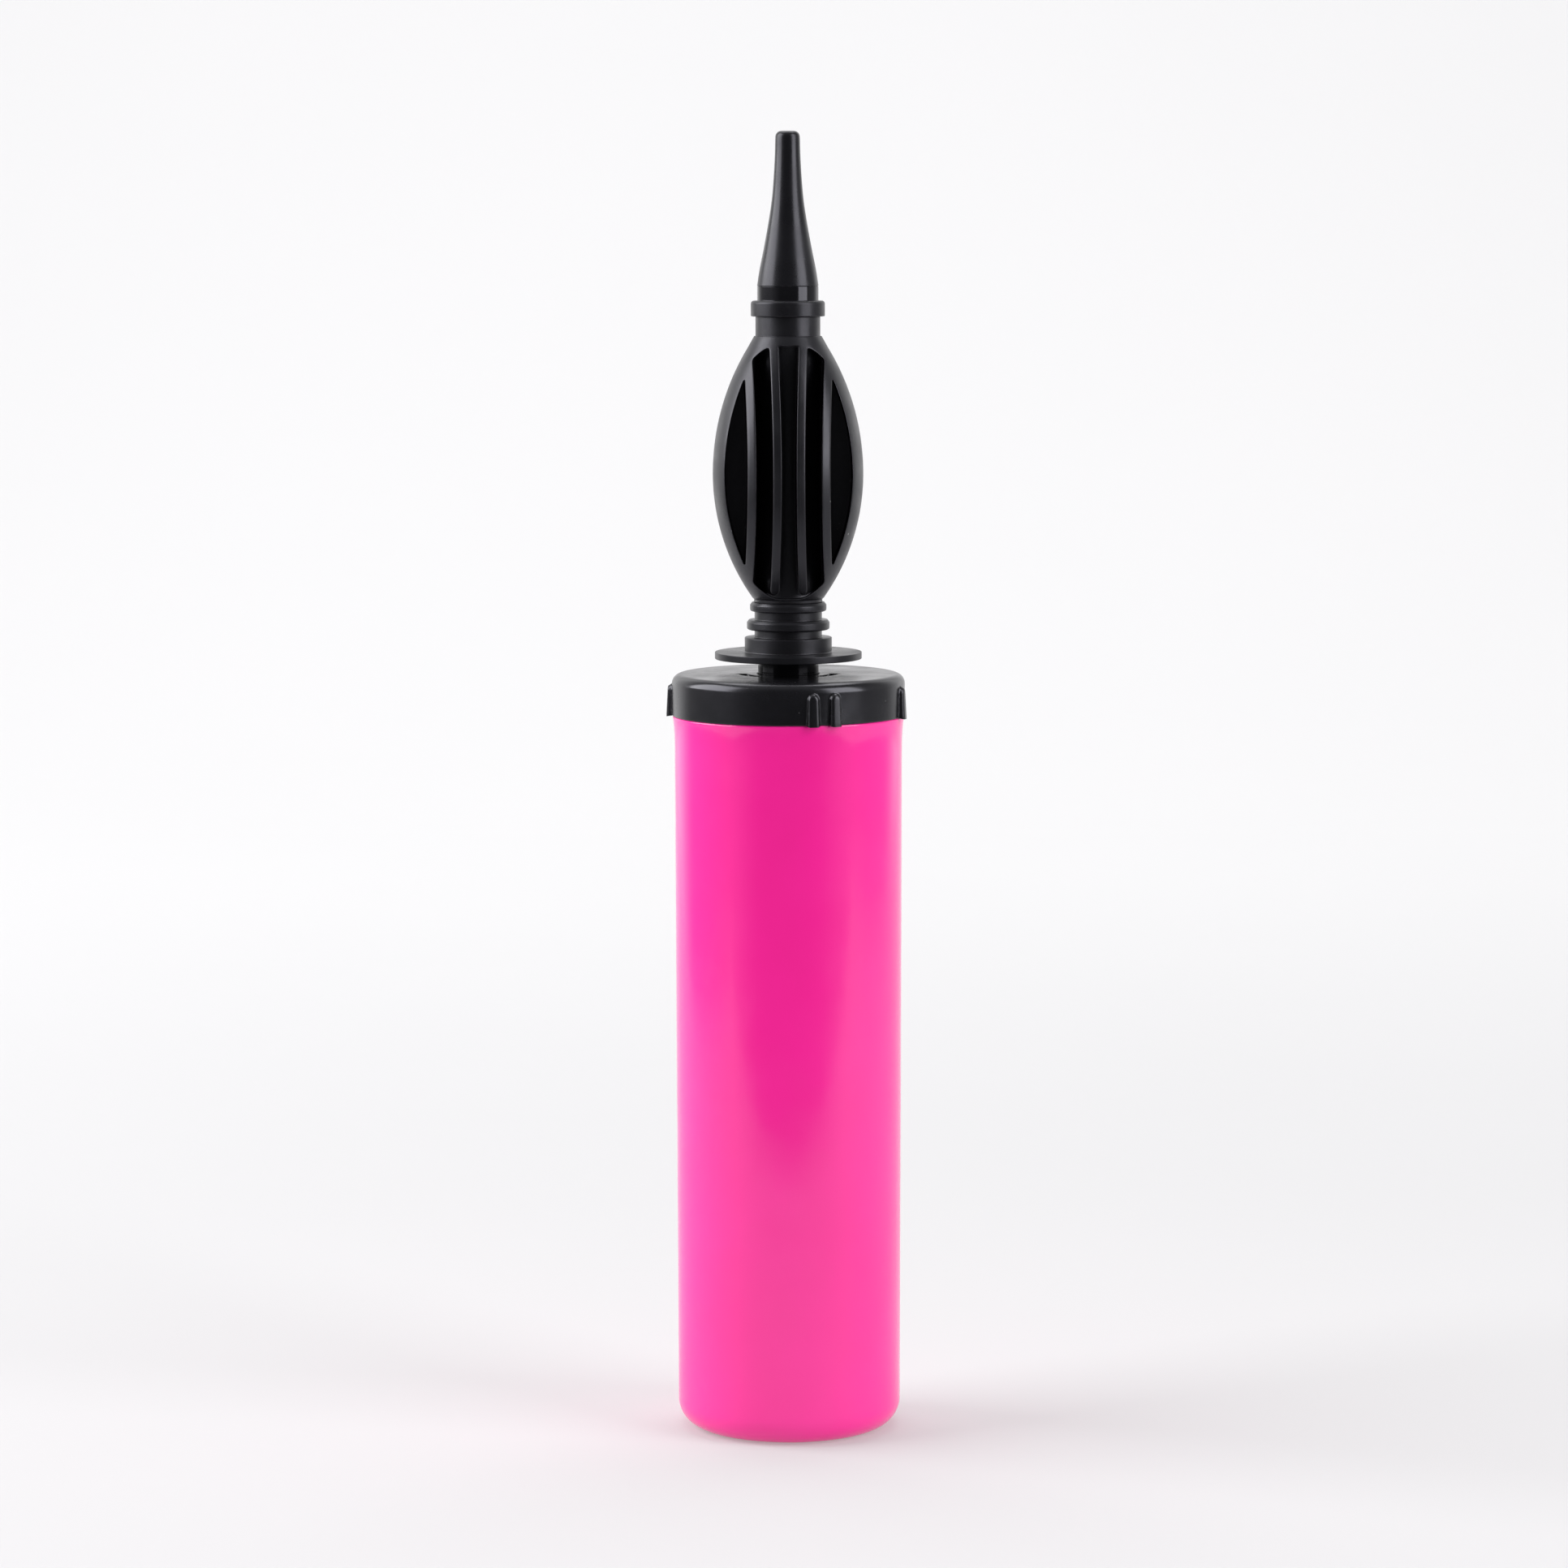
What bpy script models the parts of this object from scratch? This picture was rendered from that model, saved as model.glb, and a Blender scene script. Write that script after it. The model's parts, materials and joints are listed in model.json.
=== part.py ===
"""Hand-held double-action ball pump, closed, standing on its foot.

The dimensions below are in millimetres and the model is in metres. +Z is up along the pump's axis,
the origin is the centre of the foot, and -Y is the front.

How it works: the handle drives a hollow piston up and down. Each stroke draws air into one
chamber through an intake flap, in the barrel's floor or under the cap, and pushes the other
chamber's air through a delivery flap into the piston, up the hollow rod and out of the nozzle.
"""
import math

import bmesh
import bpy
from mathutils import Matrix

MM = 0.001
GAP = 0.3                 # left between pieces that touch
RUN = 0.1                 # radial clearance of a sliding fit
FLAP_LIFT = 0.8           # how far each valve flap opens
FLAP_THICK = 0.8
HOLE_TURN = 11.0          # first hole of a circle of holes, degrees from the front
MERGE_DISTANCE = 0.000001

# facets around each kind of turned piece
BARREL_STEPS = 40
GRIP_STEPS = 32
COLLAR_STEPS = 28
TUBE_STEPS = 24
PIN_STEPS = 12
HOLE_STEPS = 10

# barrel
BARREL_R_FOOT = 25.0      # just above the foot's rounded edge
BARREL_R_TOP = 25.35      # where the flare starts
FLARE_Z = 152.0
SHOULDER_R = 25.85
SHOULDER_Z = 160.9
MOUTH_R = 24.1
MOUTH_Z = 166.8
BORE_R = 23.2
FOOT_ROUND = 6.0
FOOT_RING_IN = 16.5       # inner radius of the ring that the pump stands on
RECESS_Z = 2.0
FLOOR_Z = 4.0
BORE_ROUND = 2.0
FOOT_HOLE_R = 1.5
FOOT_HOLE_CIRCLE = 7.0
FOOT_HOLES = 6
NOTCH_WIDTH = 2.5
NOTCH_HEIGHT = 0.8
NOTCH_AZIMUTHS = (60.0, 180.0, 300.0)

# cap
CAP_R = 25.95
CAP_RIM_Z = SHOULDER_Z + GAP
CAP_TOP_Z = 170.15
CAP_PLATE = 1.8
CAP_ROUND = 2.2
CAP_INNER_R = 24.9
BOSS_R = 8.9
BOSS_BORE_R = 7.9
BOSS_Z = 159.15
SLOT_IN = 9.3
SLOT_OUT = 11.6
SLOT_SPAN = 50.0
SLOT_AZIMUTHS = (62.0, 298.0)
LUG_AZIMUTHS = (12.0, 23.0, 73.0, 150.0, 161.0, 211.0, 270.0)   # from the front, towards +X
LUG_R = 27.2
LUG_WIDTH_FOOT = 2.9
LUG_WIDTH_TOP = 2.5
LUG_TOP_Z = 167.8

# cap and barrel thread
THREAD_PITCH = 2.4
THREAD_BEAD_R = 0.45
THREAD_Z = 162.0
BARREL_THREAD_TURNS = 1.4
CAP_THREAD_TURNS = 1.1
THREAD_START = 0.013      # part of a turn
THREAD_POINTS_PER_TURN = 24

# what the cap holds
BUSHING_HEIGHT = 5.6
GLAND_R = 10.6
GLAND_Z = 157.65
SEAL_LIP = 0.25           # depth of the groove between the rod seal's two lips
GLAND_TOP_Z = CAP_TOP_Z - CAP_PLATE - GAP - FLAP_THICK - FLAP_LIFT - GAP
CAP_FLAP_R = 13.5

# rod
ROD_R = 6.75
ROD_BORE_R = 5.25
ROD_SPIGOT_R = 5.5
ROD_SPIGOT_BORE_R = 4.3
ROD_SHOULDER_Z = 175.5
ROD_TOP_Z = 200.0

# piston, from its foot up
PISTON_R = 22.6
LANDING_Z = FLOOR_Z + GAP
LANDING_IN = 18.4
LANDING_OUT = 20.6
BASE_Z = 8.6
PLATE = 2.0
HUB_IN = 17.6
HUB_OUT = 19.4
HUB_HEIGHT = 6.6
SPIGOT_IN = 15.6
SPIGOT_DROP = 3.0
SNOUT_R = 7.0
SNOUT_DROP = 3.8
SOCKET_R = 9.2
SOCKET_HEIGHT = 6.0
DELIVERY_HOLE_R = 1.6
LOWER_HOLE_CIRCLE = 7.5
LOWER_HOLES = 6
UPPER_HOLE_CIRCLE = 12.4
UPPER_HOLES = 8
SEAL_R = BORE_R - 1.5 * RUN
SEAL_WAIST = 0.8          # how far the seal's waist lies inside its lips
SEAL_LIP_HEIGHT = 1.4
CROWN_Z = BASE_Z + PLATE + HUB_HEIGHT + GAP
ROD_FOOT_Z = CROWN_Z + 1.0 + GAP
BUMPER_R = 10.4
BUMPER_HEIGHT = 2.5
BUMPER_BEVEL = 0.8
PISTON_CHAMFER = 0.6
LANDING_SLOTS = 4
LANDING_SLOT_WIDTH = 4.0

# valve flaps and their pegs
DISC_FLAP_R = 10.5
PIN_HOLE_R = 1.5
PIN_SHAFT_R = 1.2
PIN_HEAD_R = 2.5
PIN_HEAD_HEIGHT = 0.8
PIN_BARB_R = 2.1
PIN_BARB_HEIGHT = 0.6
PIN_HEAD_BEVEL = 0.4
UPPER_FLAP_R = 15.3
RETAINER_R = 11.0
RETAINER_THICK = 0.8

# handle collar: guard disc, collar and two rings
GUARD_R = 16.35
GUARD_Z = 173.5
GUARD_THICK = 1.5
GUARD_EDGE = 0.15
COLLAR_R = 9.8
COLLAR_TOP_Z = 178.3
COLLAR_EDGE = 0.4
RING_LOW_R = 9.25
RING_LOW_Z = 180.0
RING_LOW_HEIGHT = 2.2
RING_HIGH_R = 8.5
RING_HIGH_Z = 184.1
RING_HIGH_HEIGHT = 2.0
GROOVE_R = 7.5

# grip
GRIP_FOOT_Z = RING_HIGH_Z + RING_HIGH_HEIGHT + GAP
GRIP_R = 16.7
GRIP_MID_Z = 214.6
GRIP_LOWER_ARC = 47.65
GRIP_UPPER_ARC = 53.7
GRIP_LOWER_Z = 186.9
GRIP_UPPER_Z = 242.5
GRIP_LEVELS = 12
NECK_LEDGE_Z = 245.0
GRIP_FOOT_R = 7.9
NECK_R = 7.175
NECK_TOP_Z = 248.25
SOCKET_LEDGE_Z = 201.4
AIRWAY_R = 4.3
PLUG_SOCKET_R = 5.4
PLUG_SOCKET_Z = 238.0
CORE_R = 7.2
WEB_THICK = 2.4
RIM_WIDTH = 2.4
RIB_WIDTH = 2.1
RIB_X = (2.57, 8.12)      # rib centres at mid height
RIB_BOW = (0.7, 0.95)     # how far each rib's ends lie further out
POCKET_Z = (187.6, 243.0)
POCKET_SAMPLES = 9        # heights that a pocket's outline keeps
POCKET_LEVELS = 60        # heights that it is tried at
POCKET_LEAST = 0.25       # where a pocket is narrower it ends

# nozzle base
FLANGE_R = 8.2
FLANGE_Z = 249.35
FLANGE_TOP_Z = 252.8
FLANGE_EDGE = 1.0
BAND_R = 6.775
BAND_TOP_Z = 256.0
PLUG_R = PLUG_SOCKET_R - GAP
PLUG_Z = 239.0
PLUG_BORE_R = 3.2
CONE_SOCKET_R = 4.4
CONE_SOCKET_Z = 246.0

# nozzle cone: radius at each height
CONE_FOOT_Z = BAND_TOP_Z + GAP
CONE_OUTLINE = (
    (256.3, 6.78), (259.1, 6.33), (264.4, 5.28), (269.7, 4.31), (275.1, 3.5), (280.4, 3.05), (285.7, 2.79),
)
CONE_TIP_R = 2.7
TIP_Z = 290.0
TIP_ROUND = 1.3
OUTLET_R = 0.9
CONE_WALL = 1.3           # at the tip; it thickens with the radius
CONE_THICKENING = 8.0     # each of these millimetres of radius adds one wall more
CONE_SPIGOT_R = 4.1
CONE_SPIGOT_BORE_R = 2.8
CONE_SPIGOT_Z = 246.6
O_RING_R = 0.35
O_RING_FLOOR_R = 3.55
O_RING_Z = (250.0, 251.1)

BLACK = (0.022, 0.022, 0.025)
RUBBER = (0.03, 0.03, 0.03)
PINK = (0.86, 0.02, 0.27)
WHITE = (0.75, 0.75, 0.73)


def clear_scene():
    for old in list(bpy.data.objects):
        bpy.data.objects.remove(old, do_unlink=True)


def new_collection(name):
    made = bpy.data.collections.new(name)
    bpy.context.scene.collection.children.link(made)
    return made


def new_material(name, colour, roughness):
    made = bpy.data.materials.new(name)
    made.use_nodes = True
    shader = made.node_tree.nodes["Principled BSDF"]
    shader.inputs["Base Color"].default_value = (*colour, 1.0)
    shader.inputs["Roughness"].default_value = roughness
    shader.inputs["Metallic"].default_value = 0.0
    return made


def add_part(name, mesh, colour, roughness):
    """A visible sub-part with a material of its own."""
    part = bpy.data.objects.new(name, mesh)
    mesh.materials.append(new_material(name, colour, roughness))
    PARTS.objects.link(part)
    return part


def add_cutter(name, mesh):
    cutter = bpy.data.objects.new(name, mesh)
    CUTTERS.objects.link(cutter)
    cutter.hide_render = True
    cutter.display_type = "WIRE"
    return cutter


def arc(centre_r, centre_z, radius, start, end, pieces):
    """Points (r, z) on an arc, its angles in degrees from +r towards +z."""
    points = []
    for i in range(pieces + 1):
        angle = math.radians(start + (end - start) * i / pieces)
        points.append((centre_r + radius * math.cos(angle), centre_z + radius * math.sin(angle)))
    return points


def tube_outline(r_in, r_out, z_low, z_high):
    """A plain ring's section, down its outer side and up its inner side."""
    return [(r_out, z_high), (r_out, z_low), (r_in, z_low), (r_in, z_high)]


def profile_mesh(name, outline):
    """A section's closed outline at +X, without any stretch that runs along the axis."""
    mesh = bpy.data.meshes.new(name)
    verts = [(r * MM, 0.0, z * MM) for r, z in outline]
    edges = []
    for i in range(len(outline)):
        after = (i + 1) % len(outline)
        if outline[i][0] > 0.0 or outline[after][0] > 0.0:
            edges.append((i, after))
    mesh.from_pydata(verts, edges, [])
    return mesh


def revolve(obj, steps):
    screw = obj.modifiers.new("turn", "SCREW")
    screw.axis = "Z"
    screw.angle = math.tau
    screw.steps = steps
    screw.render_steps = steps
    screw.use_merge_vertices = True
    screw.merge_threshold = MERGE_DISTANCE
    screw.use_smooth_shade = True


def turned(name, outline, steps, colour, roughness):
    """A turned part, from its section: down the outer side, then up the inner side or the axis."""
    part = add_part(name, profile_mesh(name, outline), colour, roughness)
    revolve(part, steps)
    return part


def turned_cutter(name, outline, steps):
    cutter = add_cutter(name, profile_mesh(name, outline))
    revolve(cutter, steps)
    return cutter


def boolean(part, tool, operation):
    step = part.modifiers.new(operation.lower() + "_" + tool.name, "BOOLEAN")
    step.operation = operation
    step.object = tool
    step.solver = "EXACT"


def around(azimuth, radius):
    """The point at this azimuth, in degrees from the front towards +X."""
    angle = math.radians(azimuth)
    return radius * math.sin(angle), -radius * math.cos(angle)


def even_azimuths(count):
    return [HOLE_TURN + 360.0 * i / count for i in range(count)]


def hole_cutter(name, azimuths, circle, radius, z_low, z_high):
    """Upright drills on a circle."""
    mesh = bpy.data.meshes.new(name)
    bm = bmesh.new()
    for azimuth in azimuths:
        x, y = around(azimuth, circle)
        place = Matrix.Translation((x * MM, y * MM, (z_low + z_high) / 2 * MM))
        bmesh.ops.create_cone(
            bm, cap_ends=True, segments=HOLE_STEPS, radius1=radius * MM, radius2=radius * MM,
            depth=(z_high - z_low) * MM, matrix=place,
        )
    bm.to_mesh(mesh)
    bm.free()
    return add_cutter(name, mesh)


def box_cutter(name, azimuths, r_in, r_out, width, z_low, z_high):
    """Radial boxes, for notches."""
    mesh = bpy.data.meshes.new(name)
    bm = bmesh.new()
    for azimuth in azimuths:
        size = Matrix.Diagonal((width * MM, (r_out - r_in) * MM, (z_high - z_low) * MM, 1.0))
        middle = Matrix.Translation((0.0, -(r_in + r_out) / 2 * MM, (z_low + z_high) / 2 * MM))
        bmesh.ops.create_cube(bm, size=1.0, matrix=Matrix.Rotation(math.radians(azimuth), 4, "Z") @ middle @ size)
    bm.to_mesh(mesh)
    bm.free()
    return add_cutter(name, mesh)


def flat_mesh(name, outline, thickness, place):
    """A closed flat outline, extruded both ways by half its thickness, as a mesh."""
    curve = bpy.data.curves.new(name, "CURVE")
    curve.dimensions = "2D"
    curve.fill_mode = "BOTH"
    curve.extrude = thickness / 2 * MM
    spline = curve.splines.new("POLY")
    spline.points.add(len(outline) - 1)
    for point, (u, v) in zip(spline.points, outline):
        point.co = (u * MM, v * MM, 0.0, 1.0)
    spline.use_cyclic_u = True
    return mesh_of_curve(curve, place)


def mesh_of_curve(curve, place):
    """The curve's mesh, placed and with its caps welded; the curve is removed."""
    holder = bpy.data.objects.new(curve.name + "_curve", curve)
    bpy.context.scene.collection.objects.link(holder)
    holder.matrix_world = place
    graph = bpy.context.evaluated_depsgraph_get()
    mesh = bpy.data.meshes.new_from_object(holder.evaluated_get(graph))
    bm = bmesh.new()
    bm.from_mesh(mesh)
    bmesh.ops.transform(bm, matrix=place, verts=bm.verts)
    bmesh.ops.remove_doubles(bm, verts=bm.verts, dist=MERGE_DISTANCE)
    bmesh.ops.recalc_face_normals(bm, faces=bm.faces)
    bm.to_mesh(mesh)
    bm.free()
    bpy.data.objects.remove(holder, do_unlink=True)
    bpy.data.curves.remove(curve)
    return mesh


def join_meshes(name, meshes):
    """One mesh of several bodies that don't touch."""
    joined = bpy.data.meshes.new(name)
    bm = bmesh.new()
    for mesh in meshes:
        bm.from_mesh(mesh)
        bpy.data.meshes.remove(mesh)
    bm.to_mesh(joined)
    bm.free()
    return joined


def thread_bead(name, radius, z_start, turns):
    """A round thread ridge, half sunk in the wall that it is joined to."""
    curve = bpy.data.curves.new(name, "CURVE")
    curve.dimensions = "3D"
    curve.bevel_depth = THREAD_BEAD_R * MM
    curve.bevel_resolution = 1
    curve.use_fill_caps = True
    curve.twist_mode = "Z_UP"
    spline = curve.splines.new("POLY")
    count = int(turns * THREAD_POINTS_PER_TURN)
    spline.points.add(count)
    for i, point in enumerate(spline.points):
        turn = i / THREAD_POINTS_PER_TURN
        angle = math.tau * (turn + THREAD_START)
        height = z_start + THREAD_PITCH * turn
        point.co = (radius * math.cos(angle) * MM, radius * math.sin(angle) * MM, height * MM, 1.0)
    return add_cutter(name, mesh_of_curve(curve, Matrix.Identity(4)))


# --- barrel and cap -------------------------------------------------------------------------


def make_barrel():
    flare = []
    for t in (0.0, 0.5, 0.8, 1.0):
        flare.append((BARREL_R_TOP + (SHOULDER_R - BARREL_R_TOP) * t * t, FLARE_Z + (SHOULDER_Z - FLARE_Z) * t))
    outline = [(MOUTH_R, MOUTH_Z), (MOUTH_R, SHOULDER_Z)]
    outline += reversed(flare)
    outline += arc(BARREL_R_FOOT - FOOT_ROUND, FOOT_ROUND, FOOT_ROUND, 0.0, -90.0, 6)
    outline += [(FOOT_RING_IN, 0.0), (FOOT_RING_IN, RECESS_Z), (PIN_HOLE_R, RECESS_Z), (PIN_HOLE_R, FLOOR_Z)]
    outline += arc(BORE_R - BORE_ROUND, FLOOR_Z + BORE_ROUND, BORE_ROUND, -90.0, 0.0, 3)
    outline += [(BORE_R, MOUTH_Z)]
    part = turned("barrel", outline, BARREL_STEPS, PINK, 0.16)
    ridge = thread_bead("barrel_thread", MOUTH_R, THREAD_Z + THREAD_BEAD_R, BARREL_THREAD_TURNS)
    boolean(part, ridge, "UNION")
    holes = hole_cutter(
        "foot_holes", even_azimuths(FOOT_HOLES), FOOT_HOLE_CIRCLE, FOOT_HOLE_R, RECESS_Z - 1.0, FLOOR_Z + 1.0,
    )
    boolean(part, holes, "DIFFERENCE")
    notches = box_cutter(
        "foot_notches", NOTCH_AZIMUTHS, FOOT_RING_IN - 1.0, BARREL_R_FOOT + 1.0, NOTCH_WIDTH, -1.0, NOTCH_HEIGHT,
    )
    boolean(part, notches, "DIFFERENCE")


def sector_mesh(name, azimuth):
    """A curved slot beside the rod, through the cap's plate."""
    outline = []
    pieces = 6
    for radius, first, last in ((SLOT_OUT, -0.5, 0.5), (SLOT_IN, 0.5, -0.5)):
        for i in range(pieces + 1):
            turn = azimuth + SLOT_SPAN * (first + (last - first) * i / pieces)
            outline.append(around(turn, radius))
    middle = (CAP_TOP_Z - CAP_PLATE / 2) * MM
    return flat_mesh(name, outline, CAP_PLATE + 2.0, Matrix.Translation((0.0, 0.0, middle)))


def lug_mesh(name, azimuth):
    """A grip lug: a tapered upright bar with a round top, standing out of the cap's side."""
    foot = LUG_WIDTH_FOOT / 2
    top = LUG_WIDTH_TOP / 2
    outline = [(-foot, CAP_RIM_Z), (foot, CAP_RIM_Z)]
    outline += arc(0.0, LUG_TOP_Z - top, top, 0.0, 180.0, 6)
    depth = LUG_R - CAP_INNER_R - GAP
    stand = Matrix.Rotation(math.radians(90.0), 4, "X")
    out = Matrix.Translation((0.0, -(LUG_R - depth / 2) * MM, 0.0))
    return flat_mesh(name, outline, depth, Matrix.Rotation(math.radians(azimuth), 4, "Z") @ out @ stand)


def make_cap():
    plate_z = CAP_TOP_Z - CAP_PLATE
    outline = arc(CAP_R - CAP_ROUND, CAP_TOP_Z - CAP_ROUND, CAP_ROUND, 90.0, 0.0, 5)
    outline += [(CAP_R, CAP_RIM_Z), (CAP_INNER_R, CAP_RIM_Z), (CAP_INNER_R, plate_z)]
    outline += [(BOSS_R, plate_z), (BOSS_R, BOSS_Z), (BOSS_BORE_R, BOSS_Z), (BOSS_BORE_R, plate_z)]
    outline += [(ROD_R + GAP, plate_z), (ROD_R + GAP, CAP_TOP_Z)]
    part = turned("barrel_cap", outline, BARREL_STEPS, BLACK, 0.42)
    lugs = [lug_mesh("lug", azimuth) for azimuth in LUG_AZIMUTHS]
    boolean(part, add_cutter("cap_lugs", join_meshes("cap_lugs", lugs)), "UNION")
    start = THREAD_Z + THREAD_BEAD_R + THREAD_PITCH / 2
    boolean(part, thread_bead("cap_thread", CAP_INNER_R, start, CAP_THREAD_TURNS), "UNION")
    slots = [sector_mesh("slot", azimuth) for azimuth in SLOT_AZIMUTHS]
    boolean(part, add_cutter("cap_slots", join_meshes("cap_slots", slots)), "DIFFERENCE")


def make_cap_inner_parts():
    """What the cap holds: gasket, bushing, seal, gland ring and intake flap."""
    plate_z = CAP_TOP_Z - CAP_PLATE
    turned(
        "cap_gasket", tube_outline(BORE_R, CAP_INNER_R - GAP, MOUTH_Z + GAP, plate_z - GAP),
        BARREL_STEPS, RUBBER, 0.8,
    )
    bushing_z = plate_z - GAP - BUSHING_HEIGHT
    turned(
        "rod_bushing", tube_outline(ROD_R + RUN, BOSS_BORE_R - GAP, bushing_z, plate_z - GAP),
        TUBE_STEPS, WHITE, 0.45,
    )
    seal_low = BOSS_Z + RUN
    seal_high = bushing_z - GAP
    seal = [(BOSS_BORE_R - GAP, seal_high), (BOSS_BORE_R - GAP, seal_low), (ROD_R + RUN, seal_low)]
    seal += [(ROD_R + RUN + SEAL_LIP, (seal_low + seal_high) / 2), (ROD_R + RUN, seal_high)]
    turned("rod_seal", seal, TUBE_STEPS, RUBBER, 0.7)
    gland = [(GLAND_R, GLAND_TOP_Z), (GLAND_R, GLAND_Z), (ROD_R + GAP, GLAND_Z), (ROD_R + GAP, BOSS_Z - GAP)]
    gland += [(BOSS_R + GAP, BOSS_Z - GAP), (BOSS_R + GAP, GLAND_TOP_Z)]
    turned("gland_ring", gland, TUBE_STEPS, WHITE, 0.5)
    flap_top = plate_z - GAP
    turned(
        "cap_intake_flap", tube_outline(BOSS_R + GAP, CAP_FLAP_R, flap_top - FLAP_THICK, flap_top),
        TUBE_STEPS, RUBBER, 0.75,
    )


# --- piston and rod -------------------------------------------------------------------------


def make_rod():
    spigot_low = ROD_SHOULDER_Z - 2.0
    outline = [(ROD_SPIGOT_R, ROD_TOP_Z), (ROD_SPIGOT_R, ROD_SHOULDER_Z), (ROD_R, ROD_SHOULDER_Z)]
    outline += [(ROD_R, ROD_FOOT_Z), (ROD_BORE_R, ROD_FOOT_Z), (ROD_BORE_R, spigot_low - 1.0)]
    outline += [(ROD_SPIGOT_BORE_R, spigot_low), (ROD_SPIGOT_BORE_R, ROD_TOP_Z)]
    turned("piston_rod", outline, TUBE_STEPS, BLACK, 0.12)


def make_piston_base():
    plate_top = BASE_Z + PLATE
    outline = [(HUB_OUT, plate_top + HUB_HEIGHT), (HUB_OUT, plate_top), (PISTON_R, plate_top)]
    outline += [(PISTON_R, BASE_Z + PISTON_CHAMFER), (PISTON_R - PISTON_CHAMFER, BASE_Z), (LANDING_OUT, BASE_Z)]
    outline += [(LANDING_OUT, LANDING_Z), (LANDING_IN, LANDING_Z), (LANDING_IN, BASE_Z), (PIN_HOLE_R, BASE_Z)]
    outline += [(PIN_HOLE_R, plate_top), (HUB_IN, plate_top), (HUB_IN, plate_top + HUB_HEIGHT)]
    part = turned("piston_base", outline, BARREL_STEPS, WHITE, 0.5)
    drill = (BASE_Z - 1.0, plate_top + 1.0)
    azimuths = even_azimuths(LOWER_HOLES)
    holes = hole_cutter("base_holes", azimuths, LOWER_HOLE_CIRCLE, DELIVERY_HOLE_R, *drill)
    boolean(part, holes, "DIFFERENCE")
    slots = box_cutter(
        "landing_slots", even_azimuths(LANDING_SLOTS), LANDING_IN - 1.0, LANDING_OUT + 1.0, LANDING_SLOT_WIDTH,
        LANDING_Z - 1.0, LANDING_Z + 2.0,
    )
    boolean(part, slots, "DIFFERENCE")


def make_piston_crown():
    top = CROWN_Z + PLATE
    outline = [(SOCKET_R, top + SOCKET_HEIGHT), (SOCKET_R, top), (PISTON_R - PISTON_CHAMFER, top)]
    outline += [(PISTON_R, top - PISTON_CHAMFER), (PISTON_R, CROWN_Z), (HUB_IN - GAP, CROWN_Z)]
    outline += [(HUB_IN - GAP, CROWN_Z - SPIGOT_DROP), (SPIGOT_IN, CROWN_Z - SPIGOT_DROP), (SPIGOT_IN, CROWN_Z)]
    outline += [(SNOUT_R, CROWN_Z), (SNOUT_R, CROWN_Z - SNOUT_DROP), (ROD_BORE_R, CROWN_Z - SNOUT_DROP)]
    outline += [(ROD_BORE_R, ROD_FOOT_Z - GAP), (ROD_R + GAP, ROD_FOOT_Z - GAP), (ROD_R + GAP, top + SOCKET_HEIGHT)]
    part = turned("piston_crown", outline, BARREL_STEPS, WHITE, 0.5)
    azimuths = even_azimuths(UPPER_HOLES)
    drill = (CROWN_Z - 1.0, top + 1.0)
    boolean(part, hole_cutter("crown_holes", azimuths, UPPER_HOLE_CIRCLE, DELIVERY_HOLE_R, *drill), "DIFFERENCE")


def make_piston_seal():
    low = BASE_Z + PLATE + GAP
    high = CROWN_Z - GAP
    waist = SEAL_R - SEAL_WAIST
    outline = [(SEAL_R, high), (SEAL_R, high - SEAL_LIP_HEIGHT), (waist, high - SEAL_LIP_HEIGHT - SEAL_WAIST)]
    outline += [(waist, low + SEAL_LIP_HEIGHT + SEAL_WAIST), (SEAL_R, low + SEAL_LIP_HEIGHT), (SEAL_R, low)]
    outline += [(HUB_OUT + GAP, low), (HUB_OUT + GAP, high)]
    turned("piston_seal", outline, BARREL_STEPS, RUBBER, 0.6)


def make_stroke_bumper():
    low = CROWN_Z + PLATE + SOCKET_HEIGHT + GAP
    high = low + BUMPER_HEIGHT
    middle = (low + high) / 2
    outline = [(BUMPER_R - BUMPER_BEVEL, high), (BUMPER_R, middle), (BUMPER_R - BUMPER_BEVEL, low)]
    outline += [(ROD_R + GAP, low), (ROD_R + GAP, high)]
    turned("stroke_bumper", outline, TUBE_STEPS, RUBBER, 0.7)


# --- valves ---------------------------------------------------------------------------------


def make_flap_and_pin(flap_name, pin_name, plate_low, plate_high, radius):
    """A disc flap on a plate, with the peg that lets it lift."""
    flap_low = plate_high + GAP
    flap_high = flap_low + FLAP_THICK
    turned(flap_name, tube_outline(PIN_HOLE_R, radius, flap_low, flap_high), TUBE_STEPS, RUBBER, 0.75)
    head_low = flap_high + FLAP_LIFT + GAP
    barb_top = plate_low - GAP
    outline = [(0.0, head_low + PIN_HEAD_HEIGHT), (PIN_HEAD_R - PIN_HEAD_BEVEL, head_low + PIN_HEAD_HEIGHT)]
    outline += [(PIN_HEAD_R, head_low + PIN_HEAD_HEIGHT / 2), (PIN_HEAD_R, head_low), (PIN_SHAFT_R, head_low)]
    outline += [(PIN_SHAFT_R, barb_top), (PIN_BARB_R, barb_top), (PIN_SHAFT_R, barb_top - PIN_BARB_HEIGHT)]
    outline += [(0.0, barb_top - PIN_BARB_HEIGHT)]
    turned(pin_name, outline, PIN_STEPS, WHITE, 0.5)


def make_upper_delivery_valve():
    """A ring flap under the crown, and the ring that stops it, both around the crown's snout."""
    flap_top = CROWN_Z - GAP
    flap_low = flap_top - FLAP_THICK
    bore = SNOUT_R + GAP
    turned("upper_delivery_flap", tube_outline(bore, UPPER_FLAP_R, flap_low, flap_top), TUBE_STEPS, RUBBER, 0.75)
    stop = flap_low - FLAP_LIFT - GAP
    turned("upper_flap_retainer", tube_outline(bore, RETAINER_R, stop - RETAINER_THICK, stop), TUBE_STEPS, WHITE, 0.5)


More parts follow.
